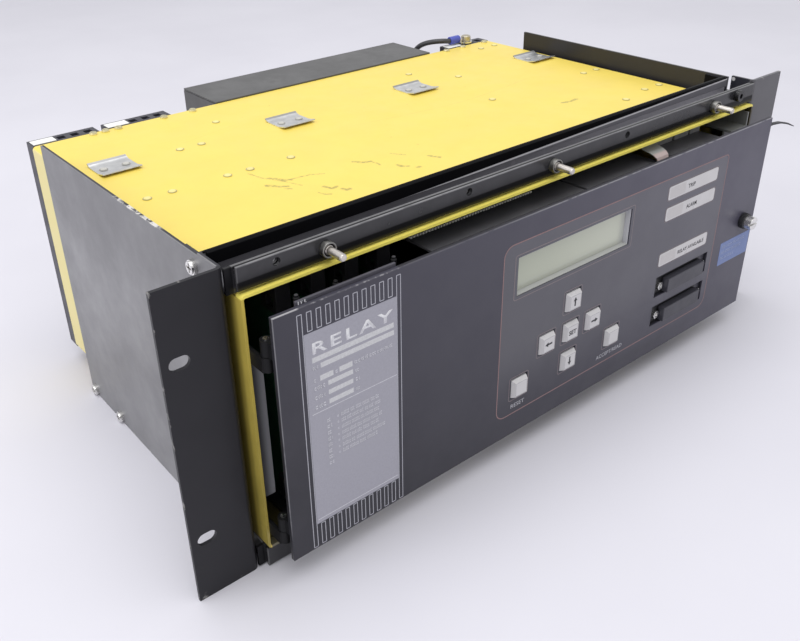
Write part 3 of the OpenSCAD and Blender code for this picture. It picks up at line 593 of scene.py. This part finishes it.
# above a sloped line near black as painted shade, below it purple-grey as painted light, with a pale painted highlight
# along the line
over = seal.math("SUBTRACT", z, seal.math("MULTIPLY_ADD", x, 0.0190, 0.0829))
col = seal.mix(seal.step(over, -0.0002, 0.0001, 1.0, 0.0), seal.col, (0.17, 0.167, 0.185))
col = seal.mix(seal.mul(seal.band(over, -0.0008, 0.0002, 0.0002), 0.9), col, (0.70, 0.69, 0.71))
seal.set("Base Color", col)

# Panel paint: fine grain, rubbed patches, bare front edge along the top
panelm = paint("panel_paint", (0.043, 0.041, 0.056), 0.40, 1700.0, 0.00003, 0.05)
x, y, z = panelm.xyz
# paler towards the upper right: painted light
light_ramp = panelm.math("ADD", panelm.math("ADD", 0.52, panelm.mul(x, 2.20)), panelm.mul(z, 3.4), clamp=True)
lit_tone = panelm.mix(light_ramp, (0.0118, 0.0112, 0.0180), (0.081, 0.077, 0.107))
cloud = panelm.step(panelm.noise(35.0, 4.0, 0.6), 0.3, 0.7, 0.0, 0.12)
lit_tone = panelm.mix(cloud, lit_tone, (0.055, 0.053, 0.068))
rub = panelm.mul(panelm.step(panelm.noise(22.0, 4.0, 0.65), 0.48, 0.78), 0.14)
dashes = panelm.mul(panelm.band(x, -0.178, -0.128, 0.001), panelm.step(panelm.noise(420.0, 2.0, 0.5), 0.46, 0.56), 0.55)
share = panelm.math("MAXIMUM", panelm.math("MAXIMUM", panelm.step(x, -0.186, -0.184, 1.0, 0.0), dashes), panelm.step(x, -0.090, 0.010, 0.10, 0.45))
rim = panelm.mul(panelm.step(z, 0.0691, 0.0694), panelm.step(y, PF * MM + 0.0004, PF * MM + 0.0008, 1.0, 0.0), share, panelm.step(panelm.noise(150.0, 3.0, 0.65), 0.30, 0.50))
pol = panelm.mul(panelm.step(panelm.noise(1.0, 2.0, 0.6, panelm.scaled(420, 40, 34, rot=(0, 0.5, 0))), 0.70, 0.76), panelm.step(panelm.noise(12.0, 2.0), 0.5, 0.65), 0.16)
col = panelm.mix(rub, lit_tone, (0.075, 0.073, 0.088))
col = panelm.mix(pol, col, (0.13, 0.13, 0.14))
# panel's side faces, and its top right of the left end, painted dark: painted shade
sides = panelm.mul(panelm.step(y, PF * MM + 0.0006, PF * MM + 0.0010), panelm.math("MAXIMUM", panelm.step(x, -0.1285, -0.1270), panelm.step(z, 0.0690, 0.0694, 1.0, 0.0)))
col = panelm.mix(panelm.mul(sides, 0.7), col, (0.016, 0.016, 0.019))
col = panelm.mix(panelm.mul(rim, 0.75), col, (0.50, 0.49, 0.50))
# the key field inside the red outline is a lighter grey towards its top
gx = panelm.math("MAXIMUM", panelm.math("SUBTRACT", panelm.math("ABSOLUTE", panelm.math("SUBTRACT", x, 0.0473)), 0.0971), 0.0)
gz = panelm.math("MAXIMUM", panelm.math("SUBTRACT", panelm.math("ABSOLUTE", panelm.math("ADD", z, 0.0003)), 0.0495), 0.0)
gap = panelm.math("SQRT", panelm.math("ADD", panelm.mul(gx, gx), panelm.mul(gz, gz)))
lighter = panelm.mul(panelm.step(gap, 0.0067, 0.0070, 1.0, 0.0), panelm.step(y, PF * MM + 0.0002, PF * MM + 0.0004, 1.0, 0.0), panelm.step(z, -0.054, -0.006, 0.02, 0.36))
col = panelm.mix(lighter, col, (0.175, 0.174, 0.185))
under = panelm.mul(panelm.step(z, -0.0640, -0.0560, 1.0, 0.0), panelm.step(x, -0.03, 0.05, 0.0, 0.34), panelm.step(x, 0.10, 0.15, 1.0, 0.0))
col = panelm.mix(under, col, (0.020, 0.019, 0.027))
brink = panelm.mul(panelm.step(x, -0.1982, -0.1978, 1.0, 0.0), panelm.step(y, PF * MM + 0.0002, PF * MM + 0.0005, 1.0, 0.0), panelm.step(z, -0.062, -0.040), panelm.step(panelm.noise(110.0, 3.0, 0.6), 0.30, 0.55, 0.45, 1.0))
col = panelm.mix(panelm.mul(brink, 0.80), col, (0.22, 0.217, 0.23))
panelm.set("Base Color", col)
panelm.set("Roughness", panelm.step(panelm.noise(30.0, 4.0, 0.65), 0.25, 0.8, 0.34, 0.50))
carrier = paint("carrier_paint", (0.066, 0.063, 0.078), 0.42, 1500.0, 0.00002, 0.05)

boxm = paint("box_paint", (0.077, 0.076, 0.076), 0.42, 900.0, 0.00004, 0.08, dust=0.22, dust_color=(0.20, 0.20, 0.20))
zinc = paint("zinc_sheet", (0.50, 0.50, 0.53), 0.5, 600.0, 0.00003, 0.06)
supplym = paint("supply_sheet", (0.46, 0.46, 0.49), 0.5, 600.0, 0.00003, 0.06)
x, y, z = supplym.xyz
face = supplym.mix(supplym.step(x, -0.1984, -0.1927), (0.060, 0.060, 0.066), (0.32, 0.32, 0.34))
supplym.set("Base Color", supplym.mix(supplym.step(y, 0.0017, 0.0040, 1.0, 0.0), supplym.col, face))
modm = paint("module_front", (0.100, 0.099, 0.107), 0.40, 500.0, 0.00002, 0.12, dust=0.35, dust_color=(0.20, 0.195, 0.19))
x, y, z = modm.xyz
tabs = modm.mul(modm.step(z, 0.0602, 0.0606), modm.step(x, 0.19, 0.192, 1.0, 0.0))
col = modm.mix(modm.mul(tabs, 0.9), modm.col, (0.36, 0.36, 0.36))
col = modm.mix(modm.mul(modm.step(x, 0.172, 0.176), 0.8), col, (0.20, 0.205, 0.195))
modm.set("Base Color", col)
bright = metal("bright_steel", (0.80, 0.79, 0.77), 0.24)
screwm = metal("frame_screw", (0.80, 0.79, 0.77), 0.24)
x, y, z = screwm.xyz
cap = screwm.mul(screwm.band(x, 0.176, 0.188, 0.0005), screwm.step(y, 0.004, 0.005, 1.0, 0.0))
screwm.set("Base Color", screwm.mix(cap, (0.80, 0.79, 0.77), (0.012, 0.012, 0.014)))
screwm.set("Metallic", screwm.math("SUBTRACT", 1.0, cap))
nutm = metal("stud_collar", (0.30, 0.295, 0.28), 0.38)
x, y, z = nutm.xyz
# dark middle of each collar: painted shade in its counterbore
near = nutm.math("SUBTRACT", nutm.math("MODULO", nutm.math("ADD", x, 0.23325), 0.1555), 0.07775)
rad = nutm.math("SQRT", nutm.math("ADD", nutm.mul(near, near), nutm.mul(nutm.math("SUBTRACT", z, 0.082), nutm.math("SUBTRACT", z, 0.082))))
pit = nutm.mul(nutm.step(rad, 0.00300, 0.00318, 1.0, 0.0), nutm.step(y, -0.0063, -0.0060))
nutm.set("Base Color", nutm.mix(nutm.mul(pit, 0.94), (0.30, 0.295, 0.28), (0.015, 0.015, 0.016)))
studm = metal("stud_steel", (0.66, 0.62, 0.58), 0.36, (1, 6, 1), 400.0, 0.08)
spring = metal("spring_steel", (0.72, 0.722, 0.722), 0.38, (1, 14, 1), 260.0, 0.10)
x, y, z = spring.xyz
spring.set("Base Color", spring.mix(spring.step(y, 0.1884, 0.1892), varied(spring, (0.72, 0.722, 0.722), 0.10, 180.0), (0.40, 0.40, 0.40)))
passiv = metal("passivated", (0.62, 0.55, 0.36), 0.38, (1, 1, 1), 500.0, 0.2)
yrivet = paint("rivet_paint", (0.80, 0.69, 0.27), 0.36, 900.0, 0.00002, 0.08, dust=0.2, dust_color=(0.50, 0.45, 0.25))
x, y, z = yrivet.xyz
# yellow rivets darker low down by the sleeve: painted shade
col = yrivet.mix(yrivet.mul(yrivet.step(z, 0.07480, 0.07488, 1.0, 0.0), 0.70), yrivet.col, (0.27, 0.235, 0.10))
along = None
for cx in (-0.1781, -0.0539, 0.0572, 0.1848):
    k = yrivet.band(x, cx - 0.0125, cx + 0.0125, 0.0001)
    along = k if along is None else yrivet.math("MAXIMUM", along, k)
onclip = yrivet.mul(along, yrivet.band(y, 0.1752, 0.1818, 0.0001), yrivet.step(z, 0.07502, 0.07508))
# clip rivets darker at their lower rim: painted shade
rim = yrivet.mul(yrivet.step(z, 0.07550, 0.07556, 1.0, 0.0), 0.6)
yrivet.set("Base Color", yrivet.mix(onclip, col, yrivet.mix(rim, (0.50, 0.49, 0.45), (0.20, 0.196, 0.185))))
creams = metal("cream_passivated", (0.80, 0.75, 0.52), 0.40, (1, 1, 1), 500.0, 0.1)
dullbolt = metal("dull_bolt", (0.52, 0.48, 0.38), 0.45, (1, 1, 1), 500.0, 0.2)
blackp = plastic("black_plastic", (0.012, 0.012, 0.014), 0.42)
combm = plastic("guide_plastic", (0.012, 0.012, 0.014), 0.42)
x, y, z = combm.xyz
combm.set("Base Color", combm.mix(combm.band(z, 0.0660, 0.0680, 0.0002), (0.012, 0.012, 0.014), (0.62, 0.61, 0.56)))
termp = plastic("terminal_plastic", (0.036, 0.035, 0.046), 0.45)
greyp = plastic("cover_plastic", (0.044, 0.043, 0.054), 0.36)
connm = plastic("connector_plastic", (0.012, 0.012, 0.014), 0.42)
x, y, z = connm.xyz
connm.set("Base Color", connm.mix(connm.step(x, 0.1396, 0.1400), (0.012, 0.012, 0.014), (0.075, 0.072, 0.090)))
keyp = plastic("key_plastic", (0.66, 0.65, 0.645), 0.40, 1300.0, 0.00002, 0.03)
x, y, z = keyp.xyz
soil = keyp.mul(keyp.step(keyp.noise(210.0, 4.0, 0.65), 0.52, 0.80), 0.22)
keyp.set("Base Color", keyp.mix(soil, (0.60, 0.588, 0.592), (0.40, 0.38, 0.36)))
white = plastic("marker_plastic", (0.78, 0.78, 0.76), 0.5)
lens = plastic("indicator_window", (0.60, 0.585, 0.585), 0.32, 2200.0, 0.00001, 0.03)
board = plastic("board_green", (0.012, 0.055, 0.026), 0.40)
dispm = plastic("display_bezel", (0.52, 0.52, 0.55), 0.45, 1500.0, 0.00001, 0.04)
x, y, z = dispm.xyz
dispm.set("Base Color", dispm.mix(dispm.step(z, 0.0232, 0.0240, 1.0, 0.0), (0.52, 0.52, 0.55), (0.46, 0.47, 0.41)))
varnish = plastic("core_varnish", (0.20, 0.11, 0.05), 0.3)
blue_sleeve = plastic("blue_sleeve", (0.07, 0.09, 0.42), 0.35)
sheath = plastic("cable_sheath", (0.045, 0.045, 0.052), 0.42, 900.0)
copper = metal("contact_metal", (0.62, 0.48, 0.42), 0.35)
rubber = plastic("grommet_rubber", (0.012, 0.012, 0.013), 0.6)

# Display: grey-green glass, a little darker towards its left and lower edges
lcd = Mat("display_glass", (0.46, 0.48, 0.40), 0.20, **{"Coat Weight": 0.3, "Coat Roughness": 0.08})
x, y, z = lcd.xyz
shade = lcd.step(x, -0.045, 0.05, 0.0, 1.0)
c_in = lcd.mix(shade, (0.44, 0.465, 0.365), (0.525, 0.545, 0.445))
low = lcd.step(z, 0.0235, 0.0300, 1.0, 0.0)
c_in = lcd.mix(lcd.mul(low, 0.45), c_in, (0.40, 0.405, 0.38))
right = lcd.step(x, 0.0440, 0.0500)
lcd.set("Base Color", lcd.mix(lcd.mul(right, 0.5), c_in, (0.46, 0.46, 0.47)))
lcd.set("Normal", lcd.bump(lcd.noise(900.0, 2.0), 0.00001, 0.2))

use(yellow, "case_sleeve", "rear_panel")
use(plate, "side_plate_left", "side_plate_right")
use(railp, "top_front_rail", "bottom_front_rail", "stud_strip", "bottom_strip")
use(black, "base_angles", "latch_bracket")
use(hingem, "hinge_brackets", "panel_hinge_lugs")
use(seal, "rail_seal")
use(screwm, "frame_screws")
use(nutm, "stud_nuts")
use(studm, "cover_studs")
use(bright, "hinge_pins", "ring_terminal", "board_standoffs", "jackscrews", "thumb_screw")
use(yrivet, "case_rivets")
use(passiv, "terminal_screws")
use(creams, "rear_screws")
use(dullbolt, "earth_bolt")
use(spring, "spring_clips")
use(termp, "terminal_blocks")
use(white, "terminal_markers")
use(boxm, "rear_box", "rear_box_lid")
use(blue_sleeve, "earth_sleeve")
use(sheath, "earth_cable")
use(board, "backplane", "module_boards", "display_board")
use(combm, "card_guides")
use(blackp, "board_handles", "board_components", "harness_tie", "thumb_knob")
use(connm, "serial_connectors")
use(supplym, "supply_module")
use(modm, "processor_module", "output_module", "input_module")
use(varnish, "input_transformers")
use(panelm, "front_panel")
use(carrier, "label_carrier")
use(dispm, "lcd_module")
use(lcd, "lcd_window")
use(lens, "indicator_windows")
use(greyp, "connector_covers")
for k in ("up", "down", "left", "right", "set", "accept", "reset"):
    use(keyp, "key_" + k)

soften(["case_sleeve", "side_plate_left", "side_plate_right", "front_panel"], 0.35)
soften(["top_front_rail", "bottom_front_rail", "stud_strip", "bottom_strip", "rear_box", "rear_box_lid", "terminal_blocks", "rail_seal", "label_carrier", "base_angles",
        "processor_module", "output_module", "input_module", "supply_module", "hinge_brackets", "latch_bracket"], 0.3)
soften(["frame_screws", "stud_nuts", "cover_studs", "thumb_screw", "earth_bolt", "jackscrews", "case_rivets", "rear_screws", "terminal_screws", "terminal_markers", "board_handles"], 0.25)
soften(["connector_covers", "thumb_knob", "earth_sleeve"], 0.5, 3)
soften(["key_" + k for k in ("up", "down", "left", "right", "set", "accept", "reset")], 0.6, 3, 25)
soften(["spring_clips"], 0.12, 1, 60)

# --------------------------------------------------------------------------
# print on the panel
# --------------------------------------------------------------------------
INK = PF - 0.04       # front of a print film
BACK = PF + 0.02
INK2 = PF - 0.07      # print on top of a field
BACK2 = PF - 0.03
red_ink = printed("red_ink", (0.26, 0.158, 0.155))
dull_red = printed("dull_red_ink", (0.225, 0.182, 0.188))
pale_ink = printed("pale_ink", (0.46, 0.46, 0.49))
dark_ink = printed("dark_ink", (0.02, 0.02, 0.025))
line_ink = printed("line_ink", (0.42, 0.42, 0.46))
field_ink = printed("field_ink", (0.345, 0.34, 0.385), 0.5, 0.04)
title_ink = printed("title_ink", (0.70, 0.70, 0.72))
bar_ink = printed("bar_ink", (0.58, 0.58, 0.59))
faint_ink = printed("faint_ink", (0.64, 0.64, 0.67))
blue_ink = printed("blue_field", (0.16, 0.215, 0.42), 0.45, 0.05)
blue_pale = printed("blue_pale", (0.34, 0.40, 0.58))

bm = bmesh.new()
outline(bm, -56.8, 151.4, -56.8, 56.2, (3.2, 7.0, 7.0, 7.0), 0.62, INK, BACK)
piece("print_keypad_outline", bm, red_ink, "panel")

bm = bmesh.new()
outline(bm, -47.8, 54.6, 20.9, 48.7, 1.6, 0.45, INK, BACK)
KEYS = {"up": (3.6, 2.6), "down": (3.6, -38.8), "left": (-17.2, -18.2), "right": (24.0, -18.2), "set": (3.6, -18.2), "accept": (45.3, -38.8), "reset": (-38.9, -38.8)}
for kx, kz in KEYS.values():
    outline(bm, kx - 8.1, kx + 8.1, kz - 8.1, kz + 8.1, 1.6, 0.35, INK, BACK)
for wz in (45.6, 31.3, -0.6):
    outline(bm, 87.0, 141.2, wz - 5.2, wz + 5.2, 1.8, 0.3, INK, BACK)
piece("print_thin_outlines", bm, dull_red, "panel")
text_piece("print_reset", "RESET", -38.9, -51.2, 2.7, BACK, pale_ink, "panel", 11.4, thick=0.06)
text_piece("print_accept", "ACCEPT/READ", 45.8, -51.2, 2.7, BACK, pale_ink, "panel", 25.7, thick=0.06)

# indicator strips' words, and the two halves of each strip
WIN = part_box("indicator_windows")[0].y / MM
bm = bmesh.new()
add_text(bm, "TRIP", 112.0, 45.4, 2.7, WIN + 0.01, 0.04, 7.6, bold=0.018)
add_text(bm, "ALARM", 115.0, 31.1, 2.7, WIN + 0.01, 0.04, 11.2, bold=0.018)
add_text(bm, "RELAY AVAILABLE", 122.3, -0.8, 2.6, WIN + 0.01, 0.04, 29.0, bold=0.018)
piece("print_indicator_words", bm, dark_ink, "panel")
lamp_ink = printed("lamp_field", (0.53, 0.51, 0.505), 0.3, 0.03)
bm = bmesh.new()
for wz in (45.6, 31.3, -0.6):
    add_prism(bm, rounded(89.2, 105.4, wz - 3.6, wz + 3.6, 0.8), WIN - 0.02, WIN + 0.01)
piece("print_lamp_fields", bm, lamp_ink, "panel")

# pale lines below the lower connector
bm = bmesh.new()
add_box(bm, 107.6, 117.0, INK, BACK, -51.4, -51.0)
add_box(bm, 128.6, 137.4, INK, BACK, -51.4, -51.0)
piece("print_connector_lines", bm, pale_ink, "panel")

# rating field: comb of slots, grey field, bars, rows of small print
bm = bmesh.new()
for i in range(12):
    x0 = -186.2 + 5.115 * i
    if i in (0, 11):
        outline(bm, x0, x0 + 2.85, -71.0, 66.5, 0.4, 0.42, INK, BACK)
    else:
        outline(bm, x0, x0 + 2.85, 56.1, 66.4, 0.4, 0.42, INK, BACK)
        outline(bm, x0, x0 + 2.85, -70.8, -56.7, 0.4, 0.42, INK, BACK)
piece("print_rating_slots", bm, line_ink, "panel")
bm = bmesh.new()
add_prism(bm, rounded(-183.2, -130.0, -56.3, 55.3, 0.3), INK, BACK)
piece("print_rating_field", bm, field_ink, "panel")
bm = bmesh.new()
add_text(bm, "RELAY", -155.6, 46.3, 6.2, BACK2, 0.04, 47.0, 1.25, bold=0.02)
piece("print_rating_title", bm, title_ink, "panel")
bm = bmesh.new()
add_box(bm, -179.6, -131.9, INK2, BACK2, 38.9, 41.7)
add_box(bm, -175.2, -131.8, INK2, BACK2, 34.7, 37.4)
add_box(bm, -175.9, -168.4, INK2, BACK2, 27.8, 30.7)
add_box(bm, -164.9, -157.3, INK2, BACK2, 27.8, 30.7)
for z0, z1 in ((23.4, 26.0), (18.2, 20.7), (12.8, 15.4)):
    add_box(bm, -171.6, -157.2, INK2, BACK2, z0, z1)
piece("print_rating_bars", bm, bar_ink, "panel")


def small_print(bm, x0, x1, z, h, y0, y1, rng, word=(1.0, 2.6), gap=(0.35, 0.8)):
    """A row of tiny marks that reads as small print."""
    xx = x0
    while xx < x1 - 0.4:
        w = min(rng.uniform(*word), x1 - xx)
        n = max(1, int(w / 0.8))
        for k in range(n):
            a = xx + w * k / n
            b = a + w / n - 0.22
            hh = h * rng.uniform(0.75, 1.0)
            add_box(bm, a, b, y0, y1, z - h / 2, z - h / 2 + hh * rng.uniform(0.28, 0.36))
            add_box(bm, a, a + 0.24, y0, y1, z - h / 2 + 0.02, z - h / 2 + hh)
            add_box(bm, a + 0.01, b, y0, y1, z - h / 2 + hh * 0.76, z - h / 2 + hh * 1.02)
        xx += w + rng.uniform(*gap)


bm = bmesh.new()
rng = random.Random(11)
add_box(bm, -181.5, -130.5, INK2, BACK2, 10.55, 10.85)
add_box(bm, -182.4, -130.6, INK2, BACK2, -54.0, -53.7)
small_print(bm, -179.6, -176.4, 36.0, 2.0, INK2, BACK2, rng)
small_print(bm, -179.4, -177.2, 29.2, 2.0, INK2, BACK2, rng)
small_print(bm, -167.3, -165.8, 29.2, 2.0, INK2, BACK2, rng)
small_print(bm, -156.2, -132.6, 29.4, 2.0, INK2, BACK2, rng)
for zz in (24.6, 19.4, 14.0):
    small_print(bm, -179.4, -173.4, zz, 2.1, INK2, BACK2, rng)
    small_print(bm, -155.8, -153.0, zz, 2.0, INK2, BACK2, rng)
for zz, e in zip((3.7, 0.1, -3.7, -7.4, -10.9, -14.8, -18.4, -22.0), (-142.0, -141.0, -141.6, -140.2, -142.4, -138.5, -143.4, -170.7)):
    small_print(bm, -173.5, -170.6, zz, 2.2, INK2, BACK2, rng, (1.2, 2.6))
    if e > -170:
        if zz > -15 or zz < -18:
            add_box(bm, -167.6, -166.7, INK2, BACK2, zz + 0.1, zz + 0.4)
            add_box(bm, -167.6, -166.7, INK2, BACK2, zz - 0.6, zz - 0.3)
        small_print(bm, -165.2, e, zz, 2.2, INK2, BACK2, rng, (2.2, 6.0))
piece("print_rating_rows", bm, faint_ink, "panel")

# blue label by the thumbscrew
bm = bmesh.new()
add_prism(bm, rounded(161.2, 197.6, -29.8, -12.3, 0.5), PF - 0.09, BACK)
piece("blue_label", bm, blue_ink, "panel")
bm = bmesh.new()
rng = random.Random(5)
small_print(bm, 163.4, 193.0, -15.9, 2.2, PF - 0.11, PF - 0.08, rng, (2.4, 6.5))
small_print(bm, 163.4, 188.0, -20.2, 2.2, PF - 0.11, PF - 0.08, rng, (2.4, 6.5))
small_print(bm, 163.4, 180.0, -24.6, 2.2, PF - 0.11, PF - 0.08, rng, (2.4, 6.5))
piece("blue_label_rows", bm, blue_pale, "panel")

# marks on the carrier behind the panel's top edge
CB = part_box("label_carrier")[0].y / MM
bm = bmesh.new()
for a, b, z0, z1 in ((-183.2, -182.7, 69.6, 71.2), (-181.6, -181.1, 69.6, 71.2), (-182.0, -180.7, 70.8, 71.2), (-179.8, -179.2, 69.6, 71.2), (-179.8, -178.7, 69.6, 70.0)):
    add_box(bm, a, b, CB - 0.03, CB + 0.02, z0, z1)
piece("print_carrier_marks", bm, title_ink, "panel")


# --------------------------------------------------------------------------
# key legends
# --------------------------------------------------------------------------
def add_arrow(bm, cx, cz, dx, dz, y0, y1):
    """Arrow 6 long that points along (dx, dz)."""
    shape = [(-3.0, -0.6), (0.4, -0.6), (0.4, -1.6), (3.0, 0.0), (0.4, 1.6), (0.4, 0.6), (-3.0, 0.6)]
    add_prism(bm, [(cx + u * dx - v * dz, cz + u * dz + v * dx) for u, v in shape], y0, y1)


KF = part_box("key_set")[0].y / MM
for k, (dx, dz) in {"up": (0, 1), "down": (0, -1), "left": (-1, 0), "right": (1, 0)}.items():
    bm = bmesh.new()
    add_arrow(bm, KEYS[k][0] - 0.4, KEYS[k][1] + 0.3, dx, dz, KF - 0.03, KF + 0.02)
    piece("legend_" + k, bm, dark_ink, "key_" + k + "_body")
ring_ink = printed("key_ring_ink", (0.40, 0.395, 0.41))
for k, (kx, kz) in KEYS.items():
    bm = bmesh.new()
    outline(bm, kx - 4.6, kx + 4.6, kz - 4.6, kz + 4.6, 0.9, 0.30, KF - 0.02, KF + 0.02)
    piece("ring_" + k, bm, ring_ink, "key_" + k + "_body")
text_piece("legend_set", "SET", KEYS["set"][0], KEYS["set"][1], 3.1, KF + 0.02, dark_ink, "key_set_body", 6.6, thick=0.05, bold=0.034)

# --------------------------------------------------------------------------
# pieces with finer form
# --------------------------------------------------------------------------
# earth cable, round and smooth along its route
ROUTE = [(163, 256, 79), (161.4, 256, 79), (159.4, 256.7, 79.3), (156.5, 258.2, 79.5), (152.5, 261.8, 79.2), (149.4, 266, 78.3), (147.2, 270.8, 76.6), (145.8, 275.4, 74), (145, 279.6, 70.2), (144.6, 282.8, 65.4),
         (144.3, 284.8, 60), (144, 285.6, 54.6), (143.2, 286, 49.6), (141.4, 286, 45.4), (138.8, 286, 42.2), (136.4, 286, 41), (134.4, 286, 40.6), (131.5, 286, 40.5)]
bm = bmesh.new()
add_tube(bm, smooth_path(ROUTE, 5), 2.1, 24)
cable = piece("earth_cable_sheath", bm, sheath, "case", smooth=True)
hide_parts("earth_cable")

# bent leaf that hangs from the upper guide, with a reddish tip
leafm = plastic("leaf", (0.52, 0.52, 0.50), 0.42)
x, y, z = leafm.xyz
leafm.set("Base Color", leafm.mix(leafm.step(y, -0.0062, -0.0045, 1.0, 0.0), (0.36, 0.37, 0.355), (0.50, 0.40, 0.38)))
LINE = [(9.0, 69.95), (5.0, 68.6), (1.0, 67.3), (-3.0, 66.5), (-6.0, 65.4), (-8.0, 64.0), (-8.8, 62.4)]
bm = bmesh.new()
rows = []
for i, (ly, lz) in enumerate(LINE):
    half = 8.2 - 0.45 * i
    rows.append([bm.verts.new((lx * MM, ly * MM, (lz - d) * MM)) for lx, d in ((97.4 - half, 0.0), (97.4 + half, 0.0), (97.4 + half, 0.5), (97.4 - half, 0.5))])
bm.faces.new(rows[0])
bm.faces.new(rows[-1][::-1])
for a, b in zip(rows, rows[1:]):
    for i in range(4):
        j = (i + 1) % 4
        bm.faces.new((a[i], a[j], b[j], b[i]))
piece("contact_leaf", bm, leafm, "case")

# small posts behind the label carrier
bm = bmesh.new()
for px, pz in ((-181.4, 72.8), (-160.0, 72.2), (-126.0, 72.8)):
    add_lathe(bm, [(1.5, 60.0), (1.5, pz - 1.6), (1.0, pz - 1.2), (1.0, pz - 0.3), (0.7, pz)], (px, -15.9, 0), "Z", 20)
    add_box(bm, px - 1.4, px + 1.4, PB, -15.9, 60.0, 63.0)
postm = plastic("post_plastic", (0.005, 0.005, 0.006), 0.6, spec=0.2)
x, y, z = postm.xyz
# post tips a little lighter: painted highlight
postm.set("Base Color", postm.mix(postm.step(z, 0.0724, 0.0727), (0.005, 0.005, 0.006), (0.045, 0.045, 0.048)))
piece("carrier_posts", bm, postm, "panel")

# grommet where the cable enters the rear box
BX1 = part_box("rear_box")[1].x / MM
bm = bmesh.new()
prof = []
for i in range(24):
    a = 2 * math.pi * i / 24
    prof.append((3.15 + 0.85 * math.cos(a), BX1 + 0.55 + 0.55 * math.sin(a)))
rings = []
for k in range(40):
    t = 2 * math.pi * k / 40
    rings.append([bm.verts.new((px * MM, (286 + pr * math.cos(t)) * MM, (40.6 + pr * math.sin(t)) * MM)) for pr, px in prof])
for k in range(40):
    a, b = rings[k], rings[(k + 1) % 40]
    for i in range(24):
        j = (i + 1) % 24
        bm.faces.new((a[i], a[j], b[j], b[i]))
piece("cable_grommet", bm, rubber, "case", smooth=True)

# numbers on the rear marker strips, outer row and inner row of terminals
lo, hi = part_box("terminal_markers")
MY = hi.y / MM
num = printed("number_ink", (0.03, 0.03, 0.035))
for b, (b0, b1) in enumerate(((-202, -157.6), (-152, -106), (156, 202))):
    bm = bmesh.new()
    mx = (b0 + b1) / 2
    for i in range(14):
        zz = (13 / 2 - i) * 10.2
        add_text(bm, str(2 * i + 1), mx + 1.2, zz + 1.4, 1.5, MY - 0.01, 0.03, facing="rear")
        add_text(bm, str(2 * i + 2), mx - 1.2, zz - 1.4, 1.5, MY - 0.01, 0.03, facing="rear")
    piece("terminal_numbers_%d" % (b + 1), bm, num, "case")

# --------------------------------------------------------------------------
# floor and light
# --------------------------------------------------------------------------
FLOOR_Z = CAD_BOX[0].z
bm = bmesh.new()
s = 6.0
vs = [bm.verts.new(p) for p in ((-s, -s, FLOOR_Z), (s, -s, FLOOR_Z), (s, s, FLOOR_Z), (-s, s, FLOOR_Z))]
bm.faces.new(vs)
me = bpy.data.meshes.new("floor")
bm.to_mesh(me)
bm.free()
floor = bpy.data.objects.new("floor", me)
SCENE.collection.objects.link(floor)
fl = Mat("floor", (0.66, 0.65, 0.70), 0.65)
fl.set("Base Color", fl.mix(fl.step(fl.noise(2.5, 4.0, 0.6), 0.3, 0.7), (0.645, 0.635, 0.69), (0.685, 0.675, 0.73)))
me.materials.append(fl.m)

world = bpy.data.worlds.new("studio")
SCENE.world = world
world.use_nodes = True
world.node_tree.nodes["Background"].inputs[0].default_value = (0.97, 0.975, 1.0, 1)
world.node_tree.nodes["Background"].inputs[1].default_value = 0.755


def area(name, pos, target, size, power, color=(1, 1, 1)):
    d = bpy.data.lights.new(name, "AREA")
    d.shape = "RECTANGLE"
    d.size, d.size_y = size
    d.energy = power
    d.color = color
    o = bpy.data.objects.new(name, d)
    SCENE.collection.objects.link(o)
    o.location = pos
    o.rotation_mode = "QUATERNION"
    o.rotation_quaternion = (Vector(target) - Vector(pos)).to_track_quat("-Z", "Y")
    return o


area("key_top", (-0.3, -0.1, 1.9), (0.0, 0.05, 0.0), (2.0, 2.0), 29.0)
area("key_left", (-1.8, 0.5, 0.8), (0.0, 0.1, 0.0), (1.5, 1.2), 8.0)
